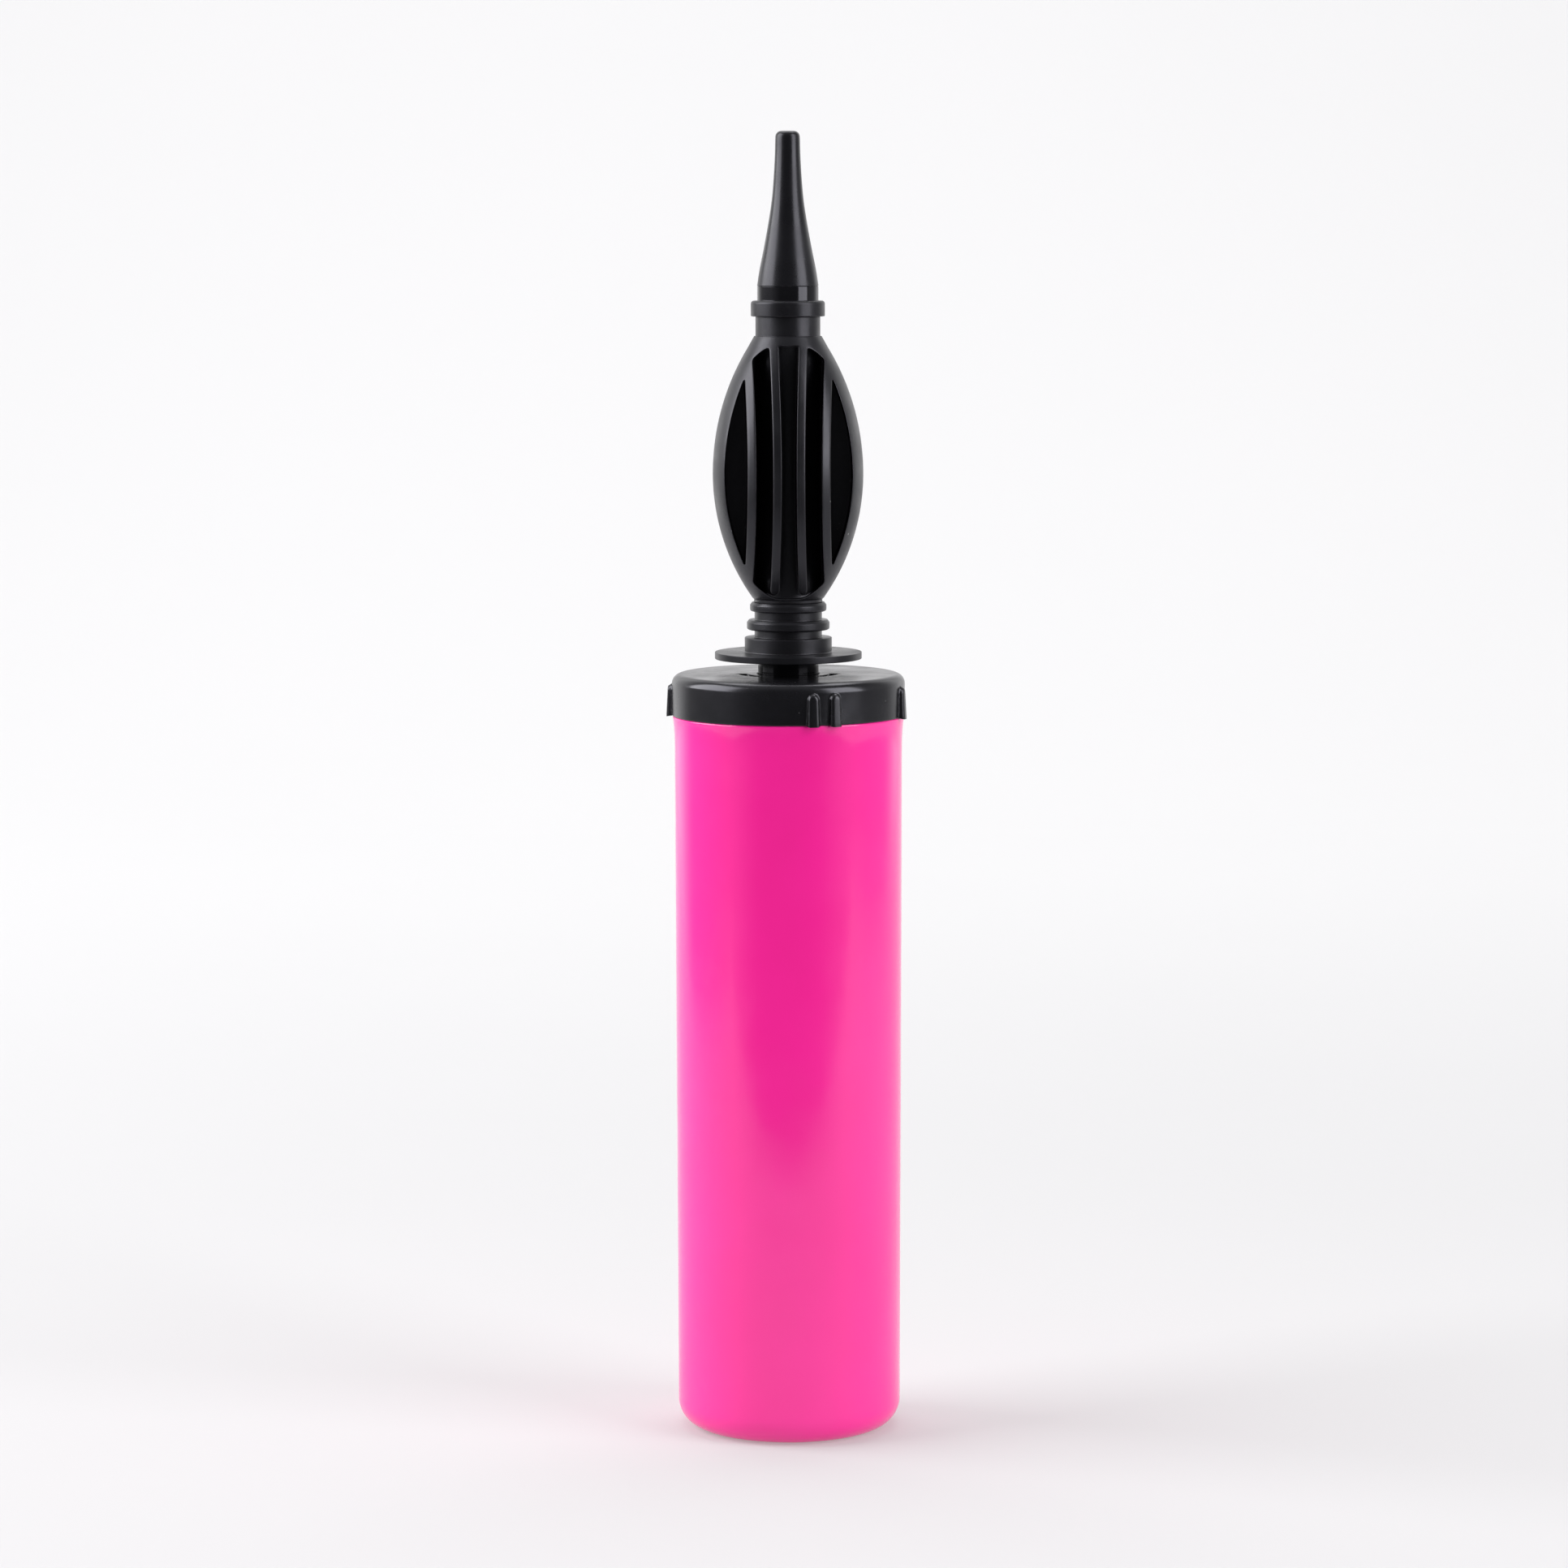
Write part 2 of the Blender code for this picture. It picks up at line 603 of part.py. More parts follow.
# --- handle and nozzle ----------------------------------------------------------------------


def make_handle_collar():
    round_low = RING_LOW_HEIGHT / 2
    round_high = RING_HIGH_HEIGHT / 2
    guard_top = GUARD_Z + GUARD_THICK
    outline = [(GROOVE_R, RING_HIGH_Z + RING_HIGH_HEIGHT)]
    outline += arc(RING_HIGH_R - round_high, RING_HIGH_Z + round_high, round_high, 90.0, -90.0, 6)
    outline += [(GROOVE_R, RING_HIGH_Z), (GROOVE_R, RING_LOW_Z + RING_LOW_HEIGHT)]
    outline += arc(RING_LOW_R - round_low, RING_LOW_Z + round_low, round_low, 90.0, -90.0, 6)
    outline += [(GROOVE_R, RING_LOW_Z), (GROOVE_R, COLLAR_TOP_Z), (COLLAR_R - COLLAR_EDGE, COLLAR_TOP_Z)]
    outline += [(COLLAR_R, COLLAR_TOP_Z - COLLAR_EDGE), (COLLAR_R, guard_top), (GUARD_R - GUARD_EDGE, guard_top)]
    outline += [(GUARD_R, guard_top - GUARD_EDGE), (GUARD_R, GUARD_Z + GUARD_EDGE)]
    outline += [(GUARD_R - GUARD_EDGE, GUARD_Z)]
    outline += [(ROD_R + GAP, GUARD_Z), (ROD_R + GAP, ROD_SHOULDER_Z + GAP)]
    outline += [(ROD_SPIGOT_R + GAP, ROD_SHOULDER_Z + GAP), (ROD_SPIGOT_R + GAP, RING_HIGH_Z + RING_HIGH_HEIGHT)]
    turned("handle_collar", outline, COLLAR_STEPS, BLACK, 0.45)


def grip_radius(z):
    """The lemon-shaped grip's outer radius: one arc below mid height and a longer one above."""
    arc_radius = GRIP_LOWER_ARC if z < GRIP_MID_Z else GRIP_UPPER_ARC
    return GRIP_R - arc_radius + math.sqrt(arc_radius ** 2 - (z - GRIP_MID_Z) ** 2)


def rib_centre(rib, z):
    """A rib bows towards the middle: its ends lie further out than its waist."""
    along = (z - GRIP_MID_Z) / (POCKET_Z[1] - GRIP_MID_Z)
    return RIB_X[rib] + RIB_BOW[rib] * along * along


def pocket_edges(pocket, z):
    """The left and right x of a pocket at height z; pocket 0 is the middle one, 2 the outermost."""
    half = RIB_WIDTH / 2
    rim = grip_radius(z) - RIM_WIDTH
    left = rib_centre(pocket - 1, z) + half if pocket else -rib_centre(0, z) + half
    right = rib_centre(pocket, z) - half if pocket < 2 else rim
    return left, min(right, rim)


def pocket_mesh(pocket, side, front):
    """One pocket's cutter: its outline seen from the front, from the web outwards."""
    low, high = POCKET_Z
    levels = []
    for i in range(POCKET_LEVELS + 1):
        z = low + (high - low) * i / POCKET_LEVELS
        left, right = pocket_edges(pocket, z)
        if right - left > POCKET_LEAST:
            levels.append((z, left, right))
    step = max(1, round(len(levels) / POCKET_SAMPLES))
    kept = levels[::step]
    if kept[-1] != levels[-1]:
        kept.append(levels[-1])
    outline = [(side * right, z) for z, left, right in kept]
    outline += [(side * left, z) for z, left, right in reversed(kept)]
    reach = GRIP_R + 2.0
    depth = reach - WEB_THICK / 2
    middle = WEB_THICK / 2 + depth / 2
    stand = Matrix.Rotation(math.radians(90.0), 4, "X")
    out = Matrix.Translation((0.0, front * middle * MM, 0.0))
    return flat_mesh("pocket", outline, depth, out @ stand)


def core_outline():
    """The round core that the pockets stop at, run past both of their ends."""
    return [(0.0, POCKET_Z[1] + 2.0), (CORE_R, POCKET_Z[1] + 2.0), (CORE_R, POCKET_Z[0] - 2.0), (0.0, POCKET_Z[0] - 2.0)]


def make_grip():
    outline = [(NECK_R, NECK_TOP_Z), (NECK_R, NECK_LEDGE_Z)]
    for i in range(GRIP_LEVELS + 1):
        z = GRIP_UPPER_Z + (GRIP_LOWER_Z - GRIP_UPPER_Z) * i / GRIP_LEVELS
        outline.append((grip_radius(z), z))
    outline += [(GRIP_FOOT_R, GRIP_FOOT_Z), (ROD_SPIGOT_R + GAP, GRIP_FOOT_Z)]
    outline += [(ROD_SPIGOT_R + GAP, SOCKET_LEDGE_Z), (AIRWAY_R, SOCKET_LEDGE_Z)]
    outline += [(AIRWAY_R, PLUG_SOCKET_Z), (PLUG_SOCKET_R, PLUG_SOCKET_Z), (PLUG_SOCKET_R, NECK_TOP_Z)]
    part = turned("handle_grip", outline, GRIP_STEPS, BLACK, 0.5)
    pockets = []
    for front in (-1.0, 1.0):
        pockets.append(pocket_mesh(0, 1.0, front))
        for side in (-1.0, 1.0):
            for pocket in (1, 2):
                pockets.append(pocket_mesh(pocket, side, front))
    cutter = add_cutter("grip_pockets", join_meshes("grip_pockets", pockets))
    boolean(cutter, turned_cutter("grip_core", core_outline(), TUBE_STEPS), "DIFFERENCE")
    boolean(part, cutter, "DIFFERENCE")


def make_handle_seals():
    low = ROD_TOP_Z + GAP
    turned(
        "handle_gasket", tube_outline(AIRWAY_R + 0.2, ROD_SPIGOT_R, low, SOCKET_LEDGE_Z - GAP),
        TUBE_STEPS, RUBBER, 0.75,
    )
    turned(
        "neck_gasket", tube_outline(PLUG_SOCKET_R, NECK_R - 0.15, NECK_TOP_Z + GAP, FLANGE_Z - GAP),
        TUBE_STEPS, RUBBER, 0.75,
    )


def make_nozzle_base():
    outline = [(BAND_R, BAND_TOP_Z), (BAND_R, FLANGE_TOP_Z)]
    outline += arc(FLANGE_R - FLANGE_EDGE, FLANGE_TOP_Z - FLANGE_EDGE, FLANGE_EDGE, 90.0, 0.0, 4)
    outline += [(FLANGE_R, FLANGE_Z), (PLUG_R, FLANGE_Z), (PLUG_R, PLUG_Z), (PLUG_BORE_R, PLUG_Z)]
    outline += [(PLUG_BORE_R, CONE_SOCKET_Z), (CONE_SOCKET_R, CONE_SOCKET_Z), (CONE_SOCKET_R, BAND_TOP_Z)]
    turned("nozzle_base", outline, TUBE_STEPS, BLACK, 0.25)


def make_nozzle_cone():
    outline = arc(CONE_TIP_R - TIP_ROUND, TIP_Z - TIP_ROUND, TIP_ROUND, 90.0, 0.0, 4)
    outline += [(radius, z) for z, radius in reversed(CONE_OUTLINE)]
    groove_low, groove_high = O_RING_Z
    outline += [(CONE_SPIGOT_R, CONE_FOOT_Z), (CONE_SPIGOT_R, groove_high)]
    outline += [(O_RING_FLOOR_R, groove_high), (O_RING_FLOOR_R, groove_low), (CONE_SPIGOT_R, groove_low)]
    outline += [(CONE_SPIGOT_R, CONE_SPIGOT_Z), (CONE_SPIGOT_BORE_R, CONE_SPIGOT_Z)]
    outline += [(CONE_SPIGOT_BORE_R, CONE_FOOT_Z)]
    for z, radius in CONE_OUTLINE[1:]:
        wall = CONE_WALL * (1.0 + (radius - CONE_TIP_R) / CONE_THICKENING)
        outline.append((max(OUTLET_R, radius - wall), z))
    outline += [(OUTLET_R, TIP_Z - TIP_ROUND), (OUTLET_R, TIP_Z)]
    turned("nozzle_cone", outline, TUBE_STEPS, BLACK, 0.5)
    ring = arc(O_RING_FLOOR_R + RUN + O_RING_R, (groove_low + groove_high) / 2, O_RING_R, 90.0, -270.0, 6)[:-1]
    turned("nozzle_o_ring", ring, TUBE_STEPS, RUBBER, 0.6)


clear_scene()
PARTS = new_collection("ball_inflation_pump")
CUTTERS = new_collection("cutters")

make_barrel()
make_cap()
make_cap_inner_parts()
make_rod()
make_piston_base()
make_piston_crown()
make_piston_seal()
make_stroke_bumper()
make_flap_and_pin("foot_intake_flap", "foot_flap_pin", RECESS_Z, FLOOR_Z, DISC_FLAP_R)
make_flap_and_pin("lower_delivery_flap", "lower_flap_pin", BASE_Z, BASE_Z + PLATE, DISC_FLAP_R)
make_upper_delivery_valve()
make_handle_collar()
make_grip()
make_handle_seals()
make_nozzle_base()
make_nozzle_cone()
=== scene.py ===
"""Looks of the ball inflation pump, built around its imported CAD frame.

Lengths in this file are in millimetres and angles in degrees unless a name says otherwise; meshes are
written in metres. An azimuth is measured from the front (-Y) towards +X.
"""

import json
import math

import bmesh
import bpy
import numpy as np
from mathutils import Matrix, Vector
from mathutils.geometry import delaunay_2d_cdt


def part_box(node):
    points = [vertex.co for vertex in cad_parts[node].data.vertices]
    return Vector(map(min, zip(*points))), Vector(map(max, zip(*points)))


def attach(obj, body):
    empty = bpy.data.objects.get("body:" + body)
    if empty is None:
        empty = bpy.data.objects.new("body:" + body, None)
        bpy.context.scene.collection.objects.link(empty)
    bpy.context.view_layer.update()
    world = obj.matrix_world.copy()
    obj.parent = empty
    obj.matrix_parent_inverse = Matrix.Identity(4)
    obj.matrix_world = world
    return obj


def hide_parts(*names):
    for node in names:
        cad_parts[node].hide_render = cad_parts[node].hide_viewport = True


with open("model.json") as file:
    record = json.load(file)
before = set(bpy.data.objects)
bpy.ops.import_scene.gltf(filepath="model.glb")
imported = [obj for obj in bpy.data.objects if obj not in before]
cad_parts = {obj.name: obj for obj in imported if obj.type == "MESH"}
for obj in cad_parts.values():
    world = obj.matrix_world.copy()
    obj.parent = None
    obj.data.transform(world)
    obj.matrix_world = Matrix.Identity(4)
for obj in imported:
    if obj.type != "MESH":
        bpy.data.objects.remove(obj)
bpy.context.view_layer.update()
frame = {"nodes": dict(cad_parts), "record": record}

MM = 0.001
WELD = 0.000002
TOUCH = 0.04              # left between pieces that rest on each other
STRAIGHT = math.radians(179.0)
FILLET_SHARE = 0.48       # the most of a side that one fillet takes
ON_AXIS = 1e-9
SAME_WALL = 0.01          # radii closer than this belong to one wall
PAST = 1.0                # how far a cutting tool reaches past what it cuts
BIG_STEPS = 160           # columns around the barrel and the cap
HANDLE_STEPS = 128        # around the collar and the grip
SMALL_STEPS = 96


# --- the CAD's own sizes ---


def span(node):
    """A node's outer radius, foot and top, in millimetres."""
    low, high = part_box(node)
    return high.x / MM, low.z / MM, high.z / MM


BARREL_R, _, BARREL_TOP = span("barrel")
_, CAP_BOSS_FOOT, CAP_TOP = span("barrel_cap")
COLLAR_DISC_R, COLLAR_FOOT, COLLAR_TOP = span("handle_collar")
GRIP_R, _, GRIP_TOP = span("handle_grip")
GRIP_FOOT = COLLAR_TOP + TOUCH
BASE_R, PLUG_FOOT, BASE_TOP = span("nozzle_base")
_, CONE_SPIGOT_FOOT, TIP_Z = span("nozzle_cone")
ROD_R, ROD_FOOT, ROD_TOP = span("piston_rod")


# --- outlines ---


def arc(centre_r, centre_z, radius, start, end, pieces):
    """Points (r, z) on an arc, its angles from +r towards +z."""
    turns = np.radians(np.linspace(start, end, pieces + 1))
    return [(centre_r + radius * math.cos(t), centre_z + radius * math.sin(t)) for t in turns]


def soften(outline, closed=True, per_piece=18.0):
    """Rounds each corner (r, z, fillet) of an outline; a corner with no third number stays sharp."""
    made = []
    count = len(outline)
    for i, point in enumerate(outline):
        fillet = point[2] if len(point) > 2 else 0.0
        at_end = not closed and i in (0, count - 1)
        if fillet <= 0.0 or at_end:
            made.append((point[0], point[1]))
            continue
        here = Vector(point[:2])
        to_last = Vector(outline[i - 1][:2]) - here
        to_next = Vector(outline[(i + 1) % count][:2]) - here
        opening = to_last.angle(to_next)
        if opening > STRAIGHT:
            made.append((point[0], point[1]))
            continue
        room = FILLET_SHARE * min(to_last.length, to_next.length)
        reach = min(fillet / math.tan(opening / 2), room)
        radius = reach * math.tan(opening / 2)
        bisector = (to_last.normalized() + to_next.normalized()).normalized()
        centre = here + bisector * (radius / math.sin(opening / 2))
        first = here + to_last.normalized() * reach - centre
        last = here + to_next.normalized() * reach - centre
        pieces = max(2, math.ceil(math.degrees(math.pi - opening) / per_piece))
        for k in range(pieces + 1):
            spoke = first.slerp(last, k / pieces).normalized() * radius
            made.append(tuple(centre + spoke))
    return made


def divide(low, high, longest):
    """Numbers from low to high, none further apart than longest."""
    return list(np.linspace(low, high, max(2, math.ceil(abs(high - low) / longest) + 1)))


# --- meshes ---


def finish_mesh(name, verts, faces, material):
    """A welded, smooth-shaded object from vertices in millimetres."""
    mesh = bpy.data.meshes.new(name)
    mesh.from_pydata([Vector(v) * MM for v in verts], [], faces)
    bm = bmesh.new()
    bm.from_mesh(mesh)
    bmesh.ops.remove_doubles(bm, verts=bm.verts, dist=WELD)
    bmesh.ops.dissolve_degenerate(bm, edges=bm.edges, dist=WELD / 4)
    bmesh.ops.recalc_face_normals(bm, faces=bm.faces)
    bm.to_mesh(mesh)
    bm.free()
    mesh.shade_smooth()
    mesh.materials.append(material)
    obj = bpy.data.objects.new(name, mesh)
    bpy.context.scene.collection.objects.link(obj)
    return obj


def weigh_normals(obj):
    """Flat faces stay flat beside their rounded edges."""
    step = obj.modifiers.new("weigh_normals", "WEIGHTED_NORMAL")
    step.mode = "FACE_AREA"
    step.weight = 50
    step.keep_sharp = True


def even_turns(steps):
    return [360.0 * i / steps for i in range(steps)]


def spun_mesh(outline, turns, push=None, closed=True):
    """Vertices and quads of an outline (r, z) turned about Z, moved by push(azimuth, r, z) where given."""
    verts = []
    for azimuth in turns:
        angle = math.radians(azimuth)
        for r, z in outline:
            if push:
                r, z = push(azimuth, r, z)
            verts.append((r * math.sin(angle), -r * math.cos(angle), z))
    rows = len(outline)
    faces = []
    for c in range(len(turns)):
        here = c * rows
        after = (c + 1) % len(turns) * rows
        for k in range(rows if closed else rows - 1):
            up = (k + 1) % rows
            if outline[k][0] < ON_AXIS and outline[up][0] < ON_AXIS:
                continue
            faces.append((here + k, after + k, after + up, here + up))
    return verts, faces


def spun(name, outline, material, turns=None, push=None):
    verts, faces = spun_mesh(outline, turns or even_turns(SMALL_STEPS), push)
    obj = finish_mesh(name, verts, faces, material)
    weigh_normals(obj)
    return obj


def section(node, azimuth, steps):
    """The closed outline (r, z) of a turned CAD node with this many facets, cut through a facet's middle."""
    mesh = frame["nodes"][node].data
    angle = math.radians(azimuth)
    across = Vector((math.cos(angle), math.sin(angle), 0.0))
    out = Vector((math.sin(angle), -math.cos(angle), 0.0))
    bm = bmesh.new()
    bm.from_mesh(mesh)
    bmesh.ops.remove_doubles(bm, verts=bm.verts, dist=WELD)
    every = bm.verts[:] + bm.edges[:] + bm.faces[:]
    cut = bmesh.ops.bisect_plane(bm, geom=every, plane_co=(0, 0, 0), plane_no=across)["geom_cut"]
    edges = [e for e in cut if isinstance(e, bmesh.types.BMEdge)]
    beside = {}
    for edge in edges:
        if all(v.co.dot(out) > -1e-7 for v in edge.verts):
            for a, b in (edge.verts, reversed(edge.verts)):
                beside.setdefault(a, []).append(b)
    start = max(beside, key=lambda v: (v.co.dot(out), v.co.z))
    loop = [start]
    last = None
    while True:
        onward = [v for v in beside[loop[-1]] if v is not last]
        last = loop[-1]
        if not onward or onward[0] is start:
            break
        loop.append(onward[0])
    stretch = 1.0 / math.cos(math.pi / steps)
    points = [(v.co.dot(out) / MM * stretch, v.co.z / MM) for v in loop]
    bm.free()
    kept = []
    for i, point in enumerate(points):
        before = Vector(points[i - 1]) - Vector(point)
        after = Vector(points[(i + 1) % len(points)]) - Vector(point)
        if abs(before.x * after.y - before.y * after.x) > 1e-4 * before.length * after.length:
            kept.append(point)
    return kept


# --- materials ---


class Graph:
    """Short calls for a material's or world's nodes."""

    def __init__(self, owner):
        owner.use_nodes = True
        self.tree = owner.node_tree
        self.tree.nodes.clear()

    def node(self, kind, settings=None, **inputs):
        made = self.tree.nodes.new("ShaderNode" + kind)
        for key, value in (settings or {}).items():
            setattr(made, key, value)
        for key, value in inputs.items():
            self.put(made.inputs[key.replace("_", " ")], value)
        return made

    def put(self, socket, value):
        if isinstance(value, bpy.types.NodeSocket):
            self.tree.links.new(value, socket)
        else:
            socket.default_value = value

    def math(self, operation, first, second=0.0):
        made = self.tree.nodes.new("ShaderNodeMath")
        made.operation = operation
        self.put(made.inputs[0], first)
        self.put(made.inputs[1], second)
        return made.outputs[0]

    def mix(self, factor, first, second):
        made = self.tree.nodes.new("ShaderNodeMix")
        made.data_type = "RGBA"
        self.put(made.inputs[0], factor)
        self.put(made.inputs[6], first)
        self.put(made.inputs[7], second)
        return made.outputs[2]

    def noise(self, at, scale, detail=2.0, roughness=0.5):
        return self.node("TexNoise", Vector=at, Scale=scale, Detail=detail, Roughness=roughness).outputs[0]

    def ramp(self, value, low, high, to_low=0.0, to_high=1.0):
        """A smooth step of value, from to_low at low to to_high at high."""
        made = self.node("MapRange", {"interpolation_type": "SMOOTHSTEP"})
        for socket, number in zip(made.inputs, (value, low, high, to_low, to_high)):
            self.put(socket, number)
        return made.outputs[0]


def rgb(colour, share=1.0):
    return (*[min(1.0, c * share) for c in colour], 1.0)


# cells of each pattern in a metre
CLOUD_SCALE = 38.0
SHEEN_SCALE = 90.0
WEAR_SCALE = 420.0
DUST_SCALE = 330.0
DUST_PATCH_SCALE = 170.0

PALE_EDGE_FROM = 0.515         # Pointiness of an edge where the pale edge colour starts: rubbed edges, and on the pink barrel a painted highlight
PALE_EDGE_FULL = 0.58
PALE_EDGE_ROUGHER = 0.25
DUST_GREY = (0.35, 0.35, 0.35, 1.0)
DUST_ROUGHER = 0.3


def plastic(
    name, colour, roughness, grain, grain_size=0.4, rough_spread=0.25, wave=0.0, wave_size=18.0,
    wear_and_highlight=0.3, wear_and_highlight_colour=None, specks=0.0, gloss_level=0.36, gloss_tint=(0.9, 0.89, 1.0), mottle=0.08,
):
    """Moulded plastic: faint cloudy colour, uneven gloss, fine grain, slow waves, pale edges, dust. Pale
    edges are rubbed ones, and on the pink barrel a painted highlight.
    """
    material = bpy.data.materials.new(name)
    g = Graph(material)
    at = g.node("TexCoord").outputs["Object"]
    cloud = g.noise(at, CLOUD_SCALE, 3.0)
    tint = g.mix(g.ramp(cloud, 0.3, 0.7), rgb(colour, 1.0 - mottle), rgb(colour, 1.0 + mottle))
    # Pale convex edges: rubbed pale by use on the black and white parts, a painted edge highlight on the pink
    # barrel.
    edge = g.ramp(g.node("NewGeometry").outputs["Pointiness"], PALE_EDGE_FROM, PALE_EDGE_FULL)
    patchy = g.ramp(g.noise(at, WEAR_SCALE, 4.0, 0.65), 0.35, 0.7)
    wear_and_highlight_mask = g.math("MULTIPLY", g.math("MULTIPLY", edge, patchy), wear_and_highlight)
    pale = wear_and_highlight_colour or tuple(min(1.0, c * 2.0 + 0.03) for c in colour)
    tint = g.mix(wear_and_highlight_mask, tint, rgb(pale))
    smoothest, roughest = roughness * (1 - rough_spread), roughness * (1 + rough_spread)
    gloss = g.ramp(g.noise(at, SHEEN_SCALE, 4.0, 0.6), 0.25, 0.75, smoothest, roughest)
    gloss = g.math("ADD", gloss, g.math("MULTIPLY", wear_and_highlight_mask, PALE_EDGE_ROUGHER))
    if specks:
        dust = g.node("TexVoronoi", {"feature": "F1"}, Vector=at, Scale=DUST_SCALE, Randomness=1.0)
        chance = g.ramp(g.noise(at, DUST_PATCH_SCALE, 1.0), 0.6, 0.72)
        spot = g.math("MULTIPLY", g.ramp(dust.outputs["Distance"], 0.1, 0.05), chance)
        tint = g.mix(g.math("MULTIPLY", spot, specks), tint, DUST_GREY)
        gloss = g.math("ADD", gloss, g.math("MULTIPLY", spot, DUST_ROUGHER))
    shader = g.node("BsdfPrincipled", Base_Color=tint, Roughness=gloss)
    shader.inputs["Specular IOR Level"].default_value = gloss_level
    shader.inputs["Specular Tint"].default_value = (*gloss_tint, 1.0)
    fine = g.noise(at, 1000.0 / (3.0 * grain_size), 3.0, 0.6)
    bump = g.node("Bump", Height=fine, Strength=1.0, Distance=grain * MM)
    if wave:
        slow = g.noise(at, 1000.0 / wave_size, 1.0)
        waves = g.node("Bump", Height=slow, Strength=1.0, Distance=wave * MM)
        g.put(bump.inputs["Normal"], waves.outputs[0])
    g.put(shader.inputs["Normal"], bump.outputs[0])
    g.put(g.node("OutputMaterial").inputs["Surface"], shader.outputs[0])
    return material


PINK = (1.0, 0.017, 0.325)
BLACK = (0.0042, 0.0042, 0.0052)
SOFT_BLACK = (0.006, 0.006, 0.0073)
WORN_BLACK = (0.07, 0.07, 0.078)

# Its pale pink edge colour is a painted highlight along the barrel's edges, strongest on the shoulder lip
# under the cap.
PINK_GLOSS = plastic(
    "pink_gloss", PINK, 0.14, grain=0.0006, grain_size=0.9, rough_spread=0.3, wave=0.02, wave_size=22.0,
    wear_and_highlight=0.6, wear_and_highlight_colour=(0.95, 0.3, 0.6), gloss_level=0.72, gloss_tint=(1.0, 1.0, 1.0), mottle=0.03,
)
CAP_BLACK = plastic(
    "cap_black", BLACK, 0.23, grain=0.004, grain_size=0.5, wave=0.01,
    wear_and_highlight=0.3, wear_and_highlight_colour=WORN_BLACK, specks=0.15, gloss_level=0.5,
)
GRIP_BLACK = plastic(
    "grip_black", SOFT_BLACK, 0.34, grain=0.018,
    wear_and_highlight=0.8, wear_and_highlight_colour=WORN_BLACK, specks=0.8, gloss_level=0.43,
)
COLLAR_BLACK = plastic(
    "collar_black", SOFT_BLACK, 0.32, grain=0.01, wear_and_highlight=0.2, wear_and_highlight_colour=WORN_BLACK, specks=0.5,
)
ROD_BLACK = plastic(
    "rod_black", BLACK, 0.1, grain=0.0005, wave=0.004, wave_size=9.0, wear_and_highlight=0.2, gloss_level=0.08,
)
BASE_BLACK = plastic(
    "base_black", SOFT_BLACK, 0.32, grain=0.01, wear_and_highlight=0.7, wear_and_highlight_colour=WORN_BLACK, specks=0.4,
)
BAND_BLACK = plastic("band_black", BLACK, 0.09, grain=0.0005, wave=0.002, wave_size=6.0, wear_and_highlight=0.2)
CONE_BLACK = plastic(
    "cone_black", SOFT_BLACK, 0.27, grain=0.01, grain_size=0.35,
    wear_and_highlight=0.5, wear_and_highlight_colour=WORN_BLACK, specks=0.4,
)
SEAL_RUBBER = plastic("seal_rubber", (0.012, 0.012, 0.012), 0.62, grain=0.01, grain_size=0.3, wear_and_highlight=0.2)
INNER_WHITE = plastic(
    "inner_white", (0.72, 0.72, 0.69), 0.4, grain=0.004, wear_and_highlight_colour=(0.85, 0.85, 0.83), mottle=0.04,
)


# --- barrel ---

WALL_R_FOOT = 25.0
WALL_R_TOP = 25.35
FLARE_Z = 152.0           # where the wall starts to flare out towards its shoulder
SHOULDER_Z = 160.9
CAP_RIM = SHOULDER_Z + TOUCH
MOUTH_R = 24.1
BORE_R = 23.2
FOOT_ROUND = 6.0
FOOT_RING_IN = 16.5
RECESS_Z = 2.0
FLOOR_Z = 4.0
FLOOR_ROWS = (9.5, 4.5)   # rows of the floor on both sides of the ring of holes
BORE_ROWS = (60.0, 110.0)
PIN_HOLE_R = 1.5
HOLE_AZIMUTHS = [11.0 + 60.0 * i for i in range(6)]
HOLE_CIRCLE = 7.0
HOLE_R = 1.5
NOTCH_AZIMUTHS = (60.0, 180.0, 300.0)    # gaps in the foot's ring that let air in
NOTCH_WIDTH = 2.5
NOTCH_HEIGHT = 0.8
THREAD_PITCH = 2.4
THREAD_BEAD_R = 0.45
THREAD_Z = 162.0
THREAD_PHASE = 0.75       # the thread starts at azimuth 90
THREAD_FADE = 12.0        # its ends fade out over a twelfth of a turn
NECK_THREAD_TURNS = 1.4
CAP_THREAD_TURNS = 1.1


def thread_height(azimuth, z, first, turns):
    """How far a helical bead stands out of its wall here."""
    high = 0.0
    turn = (azimuth / 360.0 + THREAD_PHASE) % 1.0
    while turn <= turns:
        above = z - first - THREAD_PITCH * turn
        fade = min(1.0, THREAD_FADE * turn, THREAD_FADE * (turns - turn))
        if abs(above) < THREAD_BEAD_R and fade > 0.0:
            high = max(high, fade * math.sqrt(THREAD_BEAD_R ** 2 - above ** 2))
        turn += 1.0
    return high


